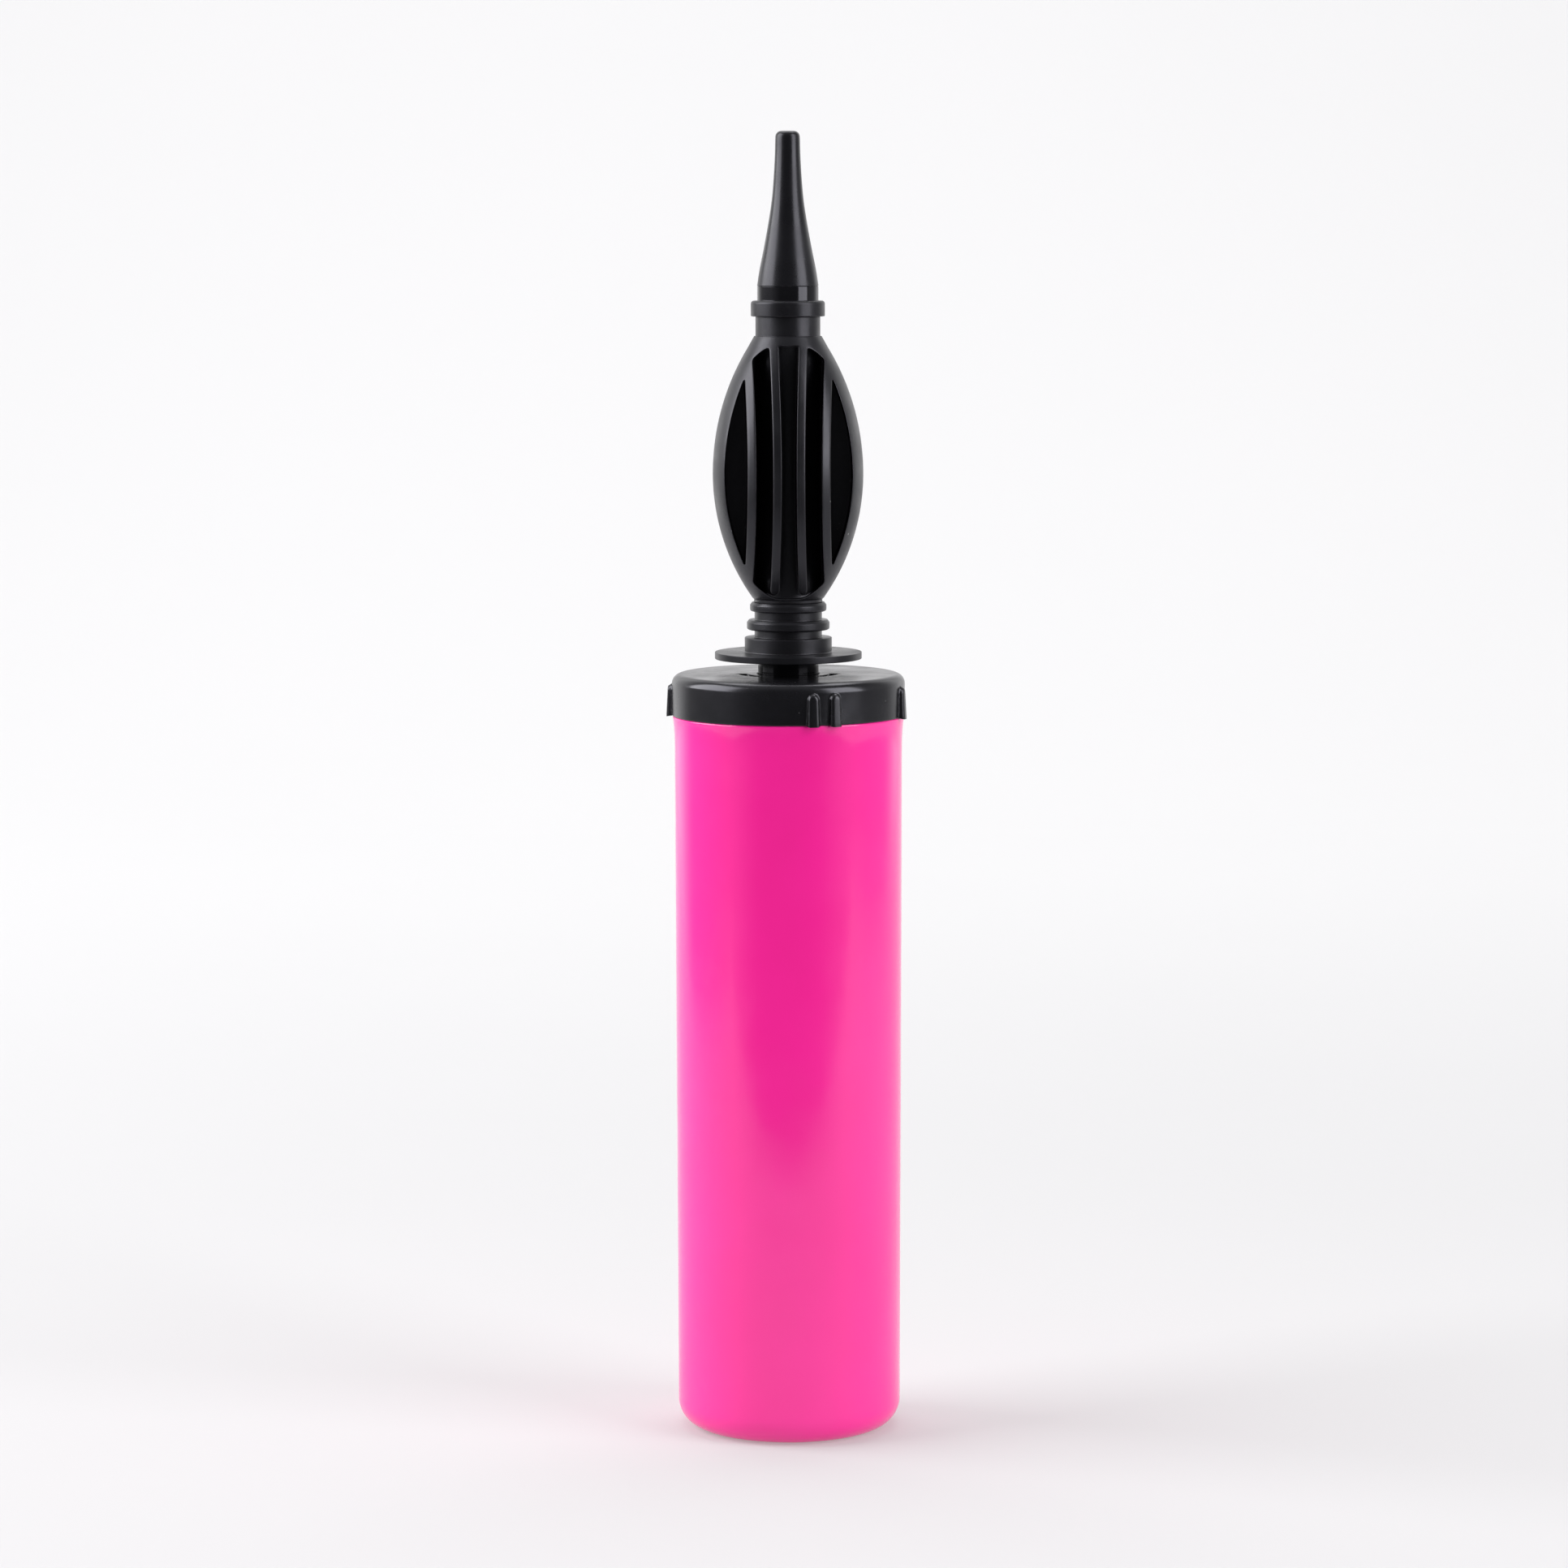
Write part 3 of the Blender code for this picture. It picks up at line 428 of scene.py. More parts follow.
def make_barrel():
    outline = [(BORE_R, BARREL_TOP, 0.25), (MOUTH_R, BARREL_TOP, 0.3)]
    outline += [(MOUTH_R, z) for z in divide(BARREL_TOP - 0.4, SHOULDER_Z + 0.25, 0.2)]
    outline += [(MOUTH_R, SHOULDER_Z, 0.15), (BARREL_R, SHOULDER_Z, 0.5)]
    for t in np.linspace(0.9, 0.0, 12):
        outline.append((WALL_R_TOP + (BARREL_R - WALL_R_TOP) * t ** 3, FLARE_Z + (SHOULDER_Z - FLARE_Z) * t))
    for z in divide(FLARE_Z, FOOT_ROUND, 8.0)[1:-1]:
        taper = (WALL_R_TOP - WALL_R_FOOT) * (z - FOOT_ROUND) / (FLARE_Z - FOOT_ROUND)
        outline.append((WALL_R_FOOT + taper, z))
    outline += arc(WALL_R_FOOT - FOOT_ROUND, FOOT_ROUND, FOOT_ROUND, 0.0, -90.0, 18)
    outline += [(FOOT_RING_IN, 0.0, 0.4), (FOOT_RING_IN, RECESS_Z, 0.3)]
    outline += [(r, RECESS_Z) for r in FLOOR_ROWS]
    outline += [(PIN_HOLE_R, RECESS_Z, 0.1), (PIN_HOLE_R, FLOOR_Z, 0.1)]
    outline += [(r, FLOOR_Z) for r in reversed(FLOOR_ROWS)]
    outline += [(BORE_R, FLOOR_Z, 2.0)]
    outline += [(BORE_R, z) for z in BORE_ROWS]

    def push(azimuth, r, z):
        if abs(r - MOUTH_R) < SAME_WALL:
            r += thread_height(azimuth, z, THREAD_Z + THREAD_BEAD_R, NECK_THREAD_TURNS)
        return r, z

    obj = spun("barrel_shell", soften(outline), PINK_GLOSS, even_turns(BIG_STEPS), push)
    cut_away(obj, round_drills(HOLE_AZIMUTHS, HOLE_CIRCLE, HOLE_R, RECESS_Z - PAST, FLOOR_Z + PAST))
    ring_in, ring_out = FOOT_RING_IN - PAST, WALL_R_FOOT + PAST
    cut_away(obj, notch_blocks(NOTCH_AZIMUTHS, ring_in, ring_out, NOTCH_WIDTH, -PAST, NOTCH_HEIGHT))
    return obj


def cut_away(obj, tool):
    """A Boolean cut, applied, with the tool removed."""
    step = obj.modifiers.new("cut", "BOOLEAN")
    step.operation = "DIFFERENCE"
    step.object = tool
    step.solver = "EXACT"
    with bpy.context.temp_override(object=obj, active_object=obj):
        bpy.ops.object.modifier_move_to_index(modifier=step.name, index=0)
        bpy.ops.object.modifier_apply(modifier=step.name)
    bpy.data.objects.remove(tool, do_unlink=True)


def round_drills(azimuths, circle, radius, z_low, z_high):
    """One tool of upright cylinders, evenly far from the axis."""
    bm = bmesh.new()
    for azimuth in azimuths:
        angle = math.radians(azimuth)
        middle = Vector((circle * math.sin(angle), -circle * math.cos(angle), (z_low + z_high) / 2)) * MM
        bmesh.ops.create_cone(
            bm, cap_ends=True, segments=32, radius1=radius * MM, radius2=radius * MM,
            depth=(z_high - z_low) * MM, matrix=Matrix.Translation(middle),
        )
    return tool_from(bm)


def notch_blocks(azimuths, r_in, r_out, width, z_low, z_high):
    """One tool of blocks that point at the axis."""
    bm = bmesh.new()
    size = Matrix.Diagonal((width * MM, (r_out - r_in) * MM, (z_high - z_low) * MM, 1.0))
    middle = Matrix.Translation(Vector((0.0, -(r_in + r_out) / 2, (z_low + z_high) / 2)) * MM)
    for azimuth in azimuths:
        turn = Matrix.Rotation(math.radians(azimuth), 4, "Z")
        bmesh.ops.create_cube(bm, size=1.0, matrix=turn @ middle @ size)
    return tool_from(bm)


def tool_from(bm):
    mesh = bpy.data.meshes.new("tool")
    bm.to_mesh(mesh)
    bm.free()
    tool = bpy.data.objects.new("tool", mesh)
    bpy.context.scene.collection.objects.link(tool)
    return tool


# --- cap ---

CAP_R = 25.95
CAP_ROUND = 2.2
CAP_PLATE = 1.8
CAP_INNER_R = 24.9
BOSS_R = 8.9
BOSS_BORE_R = 7.9
ROD_HOLE_R = ROD_R + 0.3
SLOT_MID_R = 10.3
SLOT_HALF = 1.0
SLOT_SPAN = 46.0
SLOT_AZIMUTHS = (62.0, 298.0)
LUG_AZIMUTHS = (12.0, 23.0, 73.0, 150.0, 161.0, 211.0, 270.0)
LUG_R_FOOT = 27.2
LUG_R_TOP = 26.85
LUG_HALF_FOOT = 1.5
LUG_HALF_TOP = 1.25
LUG_TOP_Z = 167.8
LUG_HANG = 0.3            # how far a lug's foot hangs below the rim
LUG_SQUARE = 4.5          # the higher, the flatter a lug's crown
LUG_EASE = 0.7            # the lower, the steeper its flanks
LUG_SKIRT = 0.12          # height of the fillet around a lug, as a share of the lug's own
LUG_REACH = 4.8           # degrees to each side of a lug that have finer columns
PLATE_ROWS = (9.0, 12.0, 17.0)
RIM_BAND = 0.3            # rows this close to the rim or to the lugs' tops move with the lugs


def off_by(azimuth, middle):
    """Degrees from middle to azimuth, the short way round."""
    return (azimuth - middle + 180.0) % 360.0 - 180.0


def lug_share(azimuth, z):
    """0 off the lugs, 1 on a lug's crown."""
    along = min(1.0, max(0.0, (z - CAP_RIM) / (LUG_TOP_Z - CAP_RIM)))
    half = LUG_HALF_FOOT + (LUG_HALF_TOP - LUG_HALF_FOOT) * along
    above = max(0.0, z - (LUG_TOP_Z - LUG_HALF_TOP))
    best = 0.0
    for middle in LUG_AZIMUTHS:
        away = math.hypot(math.radians(off_by(azimuth, middle)) * CAP_R, above) / half
        crown = (1.0 - min(1.0, away) ** LUG_SQUARE) ** LUG_EASE
        skirt = LUG_SKIRT * max(0.0, 1.0 - (away - 0.8) / 0.5) ** 2 if away > 0.95 else 0.0
        best = max(best, crown, skirt)
    return best


def cap_turns():
    """Even columns, with finer ones across each lug."""
    turns = set(even_turns(BIG_STEPS))
    for middle in LUG_AZIMUTHS:
        turns = {t for t in turns if abs(off_by(t, middle)) > LUG_REACH + 0.1}
        turns |= {(middle + off) % 360.0 for off in np.linspace(-LUG_REACH, LUG_REACH, 37)}
    return sorted(turns)


def make_cap():
    plate = CAP_TOP - CAP_PLATE
    outline = [(ROD_HOLE_R, CAP_TOP, 0.25)]
    outline += [(r, CAP_TOP) for r in PLATE_ROWS]
    outline += arc(CAP_R - CAP_ROUND, CAP_TOP - CAP_ROUND, CAP_ROUND, 90.0, 0.0, 22)
    outline += [(CAP_R, z) for z in divide(CAP_TOP - CAP_ROUND, CAP_RIM + 0.3, 0.25)[1:]]
    outline += [(CAP_R, CAP_RIM, 0.25), (CAP_INNER_R, CAP_RIM, 0.25)]
    outline += [(CAP_INNER_R, z) for z in divide(CAP_RIM + 0.4, plate - 1.4, 0.25)]
    outline += [(CAP_INNER_R, plate, 0.8)]
    outline += [(r, plate) for r in reversed(PLATE_ROWS[1:])]
    outline += [(BOSS_R, plate, 0.4), (BOSS_R, CAP_BOSS_FOOT, 0.2), (BOSS_BORE_R, CAP_BOSS_FOOT, 0.2)]
    outline += [(BOSS_BORE_R, plate, 0.1), (ROD_HOLE_R, plate, 0.2)]
    first = THREAD_Z + THREAD_BEAD_R + THREAD_PITCH / 2

    def push(azimuth, r, z):
        if abs(r - CAP_INNER_R) < SAME_WALL:
            return r - thread_height(azimuth, z, first, CAP_THREAD_TURNS), z
        if r > CAP_INNER_R + 0.3 and z < LUG_TOP_Z + RIM_BAND:
            share = lug_share(azimuth, z)
            along = (z - CAP_RIM) / (LUG_TOP_Z - CAP_RIM)
            crown_r = LUG_R_FOOT + (LUG_R_TOP - LUG_R_FOOT) * along
            if z < CAP_RIM + RIM_BAND:
                z -= LUG_HANG * share
            return r + (crown_r - r) * share, z
        return r, z

    obj = spun("cap_shell", soften(outline), CAP_BLACK, cap_turns(), push)
    cut_away(obj, kidney_tool())
    return obj


def kidney_ring(azimuth):
    """A round-ended curved slot's outline, as (azimuth, r)."""
    half_turn = SLOT_SPAN / 2 - math.degrees(SLOT_HALF / SLOT_MID_R)
    ring = []
    for side in (1.0, -1.0):
        edge_r = SLOT_MID_R + side * SLOT_HALF
        ring += [(azimuth + turn, edge_r) for turn in np.linspace(-side * half_turn, side * half_turn, 24)]
        for t in np.radians(np.linspace(side * 90.0, side * -90.0, 13)[1:-1]):
            out = math.degrees(SLOT_HALF * math.cos(t) / SLOT_MID_R)
            ring.append((azimuth + side * half_turn + side * out, SLOT_MID_R + SLOT_HALF * math.sin(t)))
    return ring


def kidney_tool():
    """A tool for the slots beside the rod."""
    verts = []
    faces = []
    for azimuth in SLOT_AZIMUTHS:
        ring = kidney_ring(azimuth)
        base = len(verts)
        for z in (CAP_TOP - CAP_PLATE - PAST, CAP_TOP + PAST):
            for turn, r in ring:
                angle = math.radians(turn)
                verts.append((r * math.sin(angle), -r * math.cos(angle), z))
        count = len(ring)
        faces.append(tuple(base + i for i in range(count)))
        faces.append(tuple(base + count + i for i in reversed(range(count))))
        for i in range(count):
            after = (i + 1) % count
            faces.append((base + i, base + after, base + count + after, base + count + i))
    return finish_mesh("kidneys", verts, faces, SEAL_RUBBER)


# --- handle: rod, collar, grip ---

DISC_TOP = COLLAR_FOOT + 1.5
COLLAR_R = 9.7
SLEEVE_TOP = 178.3
GROOVE_R = 7.5
RING_LOW_R = 9.2
RING_LOW = (180.0, 182.2)
RING_HIGH_R = 8.5
RING_HIGH = (184.1, 186.1)
RING_SLOPE = (0.45, 0.6)  # a ring's upper edge is cut back by this much, inwards and downwards
DISC_ROWS = (13.0, 12.0)  # a row of the disc's top and one of its underside
SPIGOT_HOLE_R = 5.8
ROD_SHOULDER_Z = 175.5
SPIGOT_SEAT_Z = ROD_SHOULDER_Z + 0.3


def ring_outline(radius, low, high):
    """Down the outer side of a collar's ring."""
    back, down = RING_SLOPE
    return [(radius - back, high, 0.15), (radius, high - down, 0.18), (radius, low, 0.45)]


def make_collar():
    outline = [(SPIGOT_HOLE_R, COLLAR_TOP, 0.15)]
    outline += ring_outline(RING_HIGH_R, *RING_HIGH)
    outline += [(GROOVE_R, RING_HIGH[0], 0.2), (GROOVE_R, RING_LOW[1], 0.2)]
    outline += ring_outline(RING_LOW_R, *RING_LOW)
    outline += [(GROOVE_R, RING_LOW[0], 0.2), (GROOVE_R, SLEEVE_TOP, 0.15)]
    outline += [(COLLAR_R, SLEEVE_TOP, 0.22), (COLLAR_R, DISC_TOP, 0.25), (DISC_ROWS[0], DISC_TOP)]
    outline += [(COLLAR_DISC_R, DISC_TOP, 0.14), (COLLAR_DISC_R, COLLAR_FOOT, 0.14)]
    outline += [(DISC_ROWS[1], COLLAR_FOOT), (ROD_HOLE_R, COLLAR_FOOT, 0.15)]
    outline += [(ROD_HOLE_R, SPIGOT_SEAT_Z, 0.1), (SPIGOT_HOLE_R, SPIGOT_SEAT_Z, 0.1)]
    return spun("collar_rings", soften(outline), COLLAR_BLACK, even_turns(HANDLE_STEPS))


LEMON_MID_Z = 214.6
LEMON_LOWER_ARC = 47.65
LEMON_UPPER_ARC = 53.7
NECK_R = 7.175
NECK_LEDGE_Z = 245.0
SHOULDER_LIP_R = NECK_R + 0.3    # where the lemon's shoulder ends below the neck
GRIP_SLEEVE_R = 7.6       # the short sleeve under the lemon
LEMON_TOP_Z = 242.5
SOCKET_R = 5.4            # the socket in the grip's top, for the nozzle base's plug
SOCKET_FOOT = 238.0
AIRWAY_R = 4.3
SPIGOT_HOLE_TOP = 201.4
SHELL_Z = (187.05, 244.85)  # the stretch of the grip's skin that holds the pockets
CORE_R = 7.2
WEB_HALF = 1.2
RIM_WIDTH = 2.6
RIB_HALF = 0.96
RIB_X = (2.57, 8.12)
RIB_BOW = (0.7, 0.95)
GRIP_TURN = 0.9
FLANGE_Z = 249.35
FLANGE_TOP_Z = 252.8
NECK_LIP_Z = FLANGE_Z - TOUCH
GASKET_R = 6.6
POCKET_FOOT = 187.3
POCKET_TOP = 243.05
ARCH_FLAT = 2.2
ARCH_TOP_DROP = (3.25, 5.9)    # drop, at this far beyond the flat
ARCH_FOOT_RISE = (3.9, 5.95)
TONGUE_Z = 188.1          # the free lower ends of the two middle ribs
POCKET_CORNER = 0.3
WINDOW_CORNER = 0.22
WINDOW_Z = (189.0, 241.0)
WINDOW_LEAST = 0.12       # a window ends where it gets narrower than this
EDGE_ROUND = 0.26
FLOOR_ROUND = 0.28
CORE_BLEND = 0.5          # over this depth a pocket's floor turns from the core into the web
FINE_STEP = 0.1
LOOP_STEP = 0.4
SUPPORT_GAP = 0.4         # from a rounded edge to the row of points beside it
FLOOR_GRID_X = (-14.5, 14.5, 0.8)
FLOOR_GRID_Z = (187.0, 243.2, 1.4)
SKIN_COLUMNS = 65         # across the front half
SKIN_ROW = 0.8
SKIN_SCALE = 12.0         # millimetres of skin for each radian of turn, when it is laid flat


def lemon(z):
    """The grip's outer radius."""
    if z > LEMON_TOP_Z:
        if z >= NECK_LEDGE_Z:
            return NECK_R
        share = (z - LEMON_TOP_Z) / (NECK_LEDGE_Z - LEMON_TOP_Z)
        return lemon(LEMON_TOP_Z) + (SHOULDER_LIP_R - lemon(LEMON_TOP_Z)) * share
    reach = LEMON_LOWER_ARC if z < LEMON_MID_Z else LEMON_UPPER_ARC
    return GRIP_R - reach + math.sqrt(reach ** 2 - (z - LEMON_MID_Z) ** 2)


def rib_centre(rib, z):
    """How far an inner (0) or outer (1) rib's centre line is from the middle."""
    along = (z - LEMON_MID_Z) / (POCKET_TOP - LEMON_MID_Z)
    return RIB_X[rib] + RIB_BOW[rib] * along * along


def rib_edge(rib, side, offset):
    """The line x(z) beside a rib's centre line, further out by offset, on the left (-1) or right (1)."""
    return lambda z: side * (rib_centre(rib, z) + offset)


def arch_top(x):
    """The upper end of the pockets."""
    over = max(0.0, abs(x) - ARCH_FLAT) / ARCH_TOP_DROP[1]
    return POCKET_TOP - ARCH_TOP_DROP[0] * over ** 2


def arch_foot(x):
    """The lower end of the middle pocket."""
    over = max(0.0, abs(x) - ARCH_FLAT) / ARCH_FOOT_RISE[1]
    return POCKET_FOOT + ARCH_FOOT_RISE[0] * over ** 1.7


def meet(edge, arch, start):
    """The height where an upright edge x(z) meets an arch z(x)."""
    z = start
    for _ in range(30):
        z = arch(edge(z))
    return z


def middle_pocket():
    """The outline of the pocket between the outer ribs, clockwise from lower left. Two ribs hang into it."""
    outer = rib_edge(1, 1.0, -RIB_HALF)
    top = meet(outer, arch_top, POCKET_TOP)
    foot = meet(outer, arch_foot, POCKET_FOOT)
    tongue = TONGUE_Z + RIB_HALF
    points = [(-outer(z), z) for z in divide(foot, top, 1.0)]
    for side in (-1.0, 1.0):
        first = rib_edge(0, side, -side * RIB_HALF)
        last = rib_edge(0, side, side * RIB_HALF)
        first_top = meet(first, arch_top, POCKET_TOP)
        last_top = meet(last, arch_top, POCKET_TOP)
        points += [(x, arch_top(x)) for x in divide(points[-1][0], first(first_top), 0.3)[1:-1]]
        points += [(first(z), z) for z in divide(first_top, tongue, 1.0)]
        middle = (first(tongue) + last(tongue)) / 2
        for t in np.radians(np.linspace(180.0, 360.0, 9)[1:-1]):
            points.append((middle + RIB_HALF * math.cos(t), tongue + RIB_HALF * 0.8 * math.sin(t)))
        points += [(last(z), z) for z in divide(tongue, last_top, 1.0)]
    points += [(x, arch_top(x)) for x in divide(points[-1][0], outer(top), 0.3)[1:-1]]
    points += [(outer(z), z) for z in divide(top, foot, 1.0)]
    points += [(x, arch_foot(x)) for x in divide(outer(foot), -outer(foot), 0.3)[1:-1]]
    return points


def window(side):
    """The outline of the lens-shaped pocket between an outer rib and the rim."""
    inner = rib_edge(1, 1.0, RIB_HALF)
    levels = [z for z in divide(*WINDOW_Z, 0.25) if lemon(z) - RIM_WIDTH - inner(z) > WINDOW_LEAST]
    points = [(side * inner(z), z) for z in levels]
    points += [(side * (lemon(z) - RIM_WIDTH), z) for z in reversed(levels)]
    return points if side < 0 else list(reversed(points))


def resample(points, step):
    """Evenly spaced points on a closed polyline."""
    ring = np.array(points + [points[0]])
    along = np.concatenate([[0.0], np.cumsum(np.hypot(*np.diff(ring, axis=0).T))])
    count = max(12, round(along[-1] / step))
    at = np.linspace(0.0, along[-1], count, endpoint=False)
    return np.stack([np.interp(at, along, ring[:, 0]), np.interp(at, along, ring[:, 1])], 1)


def round_corners(points, reach):
    """A closed polyline with its corners rounded over about this reach."""
    fine = resample(points, FINE_STEP)
    sigma = reach / FINE_STEP
    offsets = np.arange(-int(3 * sigma), int(3 * sigma) + 1)
    weights = np.exp(-0.5 * (offsets / sigma) ** 2)
    weights /= weights.sum()
    smooth = sum(w * np.roll(fine, -k, axis=0) for w, k in zip(weights, offsets))
    return resample([tuple(p) for p in smooth], LOOP_STEP)


def outward(loop):
    """Unit normals of a closed loop, away from its inside."""
    along = np.roll(loop, -1, axis=0) - np.roll(loop, 1, axis=0)
    area = np.sum(loop[:, 0] * np.roll(loop[:, 1], -1) - np.roll(loop[:, 0], -1) * loop[:, 1])
    normal = np.stack([along[:, 1], -along[:, 0]], 1) * (1.0 if area > 0 else -1.0)
    return normal / np.linalg.norm(normal, axis=1)[:, None]


def inside(points, loop):
    """Which points lie inside a closed loop."""
    x, y = points[:, 0][:, None], points[:, 1][:, None]
    x0, y0 = loop[:, 0][None], loop[:, 1][None]
    x1, y1 = np.roll(loop[:, 0], -1)[None], np.roll(loop[:, 1], -1)[None]
    crosses = (y0 > y) != (y1 > y)
    rise = np.where(np.abs(y1 - y0) < 1e-12, 1e-12, y1 - y0)
    return (np.sum(crosses & (x < x0 + (y - y0) * (x1 - x0) / rise), axis=1) % 2) == 1


def far_from(points, loop, least):
    """Which points are at least so far from every point of a loop."""
    across = points[:, 0][:, None] - loop[:, 0][None]
    along = points[:, 1][:, None] - loop[:, 1][None]
    return np.hypot(across, along).min(axis=1) > least


def outside(points, loops):
    """Which points lie inside none of the loops."""
    keep = np.ones(len(points), bool)
    for loop in loops:
        keep &= ~inside(points, loop)
    return keep


def triangles(loops, extra, wanted):
    """A flat triangulation with the loops as edges, keeping the triangles whose centres are wanted."""
    points = []
    edges = []
    for loop in loops:
        base = len(points)
        count = len(loop)
        points += [Vector(p) for p in loop]
        edges += [(base + i, base + (i + 1) % count) for i in range(count)]
    points += [Vector(p) for p in extra]
    made, _, faces = delaunay_2d_cdt(points, edges, [], 1, 1e-7)[:3]
    flat = np.array([tuple(p) for p in made])
    centres = np.array([flat[list(f)].mean(axis=0) for f in faces])
    keep = wanted(centres)
    return flat, [f for f, k in zip(faces, keep) if k]


def skin_depth(x, z):
    """How far the grip's skin lies from its middle plane."""
    return math.sqrt(max(0.0, lemon(z) ** 2 - x * x))


def floor_depth(x):
    """How far a pocket's floor lies from the middle plane: the core tube, running into the web."""
    core = math.sqrt(max(0.0, CORE_R ** 2 - x * x))
    mix = max(0.0, min(1.0, 0.5 + 0.5 * (core - WEB_HALF) / CORE_BLEND))
    return WEB_HALF + (core - WEB_HALF) * mix + CORE_BLEND * mix * (1.0 - mix) / 2


def flatten(loop):
    """From (x, z) seen from the front to the skin laid flat."""
    return np.array([(math.asin(max(-1.0, min(1.0, x / lemon(z)))) * SKIN_SCALE, z) for x, z in loop])


def pocket_walls(loop):
    """A pocket's rounded edge, its wall and its floor's rounded edge, as rows of (x, depth, z) going in."""
    out = outward(loop)
    rows = []
    for turn in np.radians(np.linspace(0.0, 90.0, 5)):
        ring = loop + out * EDGE_ROUND * (1.0 - math.sin(turn))
        rows.append([(x, skin_depth(x, z) - EDGE_ROUND * (1.0 - math.cos(turn)), z) for x, z in ring])
    for share in (0.33, 0.67):
        top = [skin_depth(x, z) - EDGE_ROUND for x, z in loop]
        low = [floor_depth(x) + FLOOR_ROUND for x, z in loop]
        rows.append([(x, t + (b - t) * share, z) for (x, z), t, b in zip(loop, top, low)])
    for turn in np.radians(np.linspace(0.0, 90.0, 4)):
        ring = loop - out * FLOOR_ROUND * (1.0 - math.cos(turn))
        rows.append([(x, floor_depth(x) + FLOOR_ROUND * (1.0 - math.sin(turn)), z) for x, z in ring])
    return rows


def pocket_floor(loop, edge):
    """Triangles of a pocket's floor, within the edge that its walls end in."""
    support = loop - outward(loop) * (FLOOR_ROUND + SUPPORT_GAP)
    support = support[inside(support, edge) & far_from(support, edge, 0.3)]
    grid = np.array([(x, z) for x in divide(*FLOOR_GRID_X) for z in divide(*FLOOR_GRID_Z)])
    grid = grid[inside(grid, edge)]
    grid = grid[far_from(grid, edge, 0.75)]
    return triangles([edge], np.concatenate([support, grid]), lambda centres: inside(centres, edge))


def grip_skin(loops):
    """Triangles of the front half of the grip's skin, laid flat, with an opening for each pocket."""
    openings = [flatten(loop + outward(loop) * EDGE_ROUND) for loop in loops]
    supports = [flatten(loop + outward(loop) * (EDGE_ROUND + SUPPORT_GAP)) for loop in loops]
    columns = np.radians(np.linspace(-90.0, 90.0, SKIN_COLUMNS)) * SKIN_SCALE
    rows = divide(*SHELL_Z, SKIN_ROW)
    border = [(s, rows[0]) for s in columns] + [(columns[-1], z) for z in rows[1:-1]]
    border += [(s, rows[-1]) for s in reversed(columns)] + [(columns[0], z) for z in reversed(rows[1:-1])]
    grid = np.array([(s, z) for s in columns[1:-1] for z in rows[1:-1]])
    grid = grid[outside(grid, openings)]
    for opening in openings:
        grid = grid[far_from(grid, opening, 0.55)]
    extra = [grid]
    for support in supports:
        keep = outside(support, openings)
        keep &= (np.abs(support[:, 0]) < columns[-1] - 0.3) & (support[:, 1] > rows[0] + 0.15)
        for opening in openings:
            keep &= far_from(support, opening, 0.28)
        for earlier in extra[1:]:
            keep &= far_from(support, earlier, 0.3)
        extra.append(support[keep])
    loops = [np.array(border)] + openings
    return triangles(loops, np.concatenate(extra), lambda centres: outside(centres, openings))


def grip_ends():
    """The outline of the grip's turned ends and bores, from the shell's top edge to its lower edge."""
    shell_foot, shell_top = SHELL_Z
    ends = [(lemon(shell_top), shell_top), (SHOULDER_LIP_R, NECK_LEDGE_Z, 0.1)]
    ends += [(NECK_R, NECK_LEDGE_Z + 0.05, 0.12), (NECK_R, NECK_LIP_Z, 0.12)]
    ends += [(GASKET_R + TOUCH, NECK_LIP_Z), (GASKET_R + TOUCH, GRIP_TOP)]
    ends += [(SOCKET_R, GRIP_TOP, 0.15), (SOCKET_R, SOCKET_FOOT, 0.1), (AIRWAY_R, SOCKET_FOOT, 0.1)]
    ends += [(AIRWAY_R, SPIGOT_HOLE_TOP, 0.1), (SPIGOT_HOLE_R, SPIGOT_HOLE_TOP, 0.1)]
    ends += [(SPIGOT_HOLE_R, GRIP_FOOT, 0.15), (GRIP_SLEEVE_R, GRIP_FOOT, 0.1)]
    ends += [(GRIP_SLEEVE_R, shell_foot - 0.25, 0.1), (lemon(shell_foot), shell_foot)]
    return soften(ends, closed=False)


def make_grip():
    """The ribbed lemon: its front half is made first, and copied to the back."""
    loops = [round_corners(middle_pocket(), POCKET_CORNER)]
    loops += [round_corners(window(side), WINDOW_CORNER) for side in (-1.0, 1.0)]
    verts = []
    faces = []
    for loop in loops:
        rows = pocket_walls(loop)
        count = len(loop)
        for k in range(len(rows) - 1):
            row = len(verts) + k * count
            for i in range(count):
                after = (i + 1) % count
                faces.append((row + i, row + after, row + count + after, row + count + i))
        for row in rows:
            verts += row
        edge = np.array([(x, z) for x, _, z in rows[-1]])
        flat, found = pocket_floor(loop, edge)
        faces += [tuple(len(verts) + i for i in f) for f in found]
        verts += [(x, floor_depth(x), z) for x, z in flat]
    flat, found = grip_skin(loops)
    faces += [tuple(len(verts) + i for i in f) for f in found]
    for s, z in flat:
        turn = s / SKIN_SCALE
        verts.append((lemon(z) * math.sin(turn), lemon(z) * math.cos(turn), z))

    all_verts = [(x, -depth, z) for x, depth, z in verts] + [(x, depth, z) for x, depth, z in verts]
    all_faces = faces + [tuple(len(verts) + i for i in reversed(f)) for f in faces]
    end_verts, end_faces = spun_mesh(grip_ends(), even_turns(HANDLE_STEPS), closed=False)
    all_faces += [tuple(len(all_verts) + i for i in f) for f in end_faces]
    all_verts += end_verts
    obj = finish_mesh("grip_ribbed", all_verts, all_faces, GRIP_BLACK)
    obj.data.transform(Matrix.Rotation(math.radians(GRIP_TURN), 4, "Z"))
    weigh_normals(obj)
    return obj


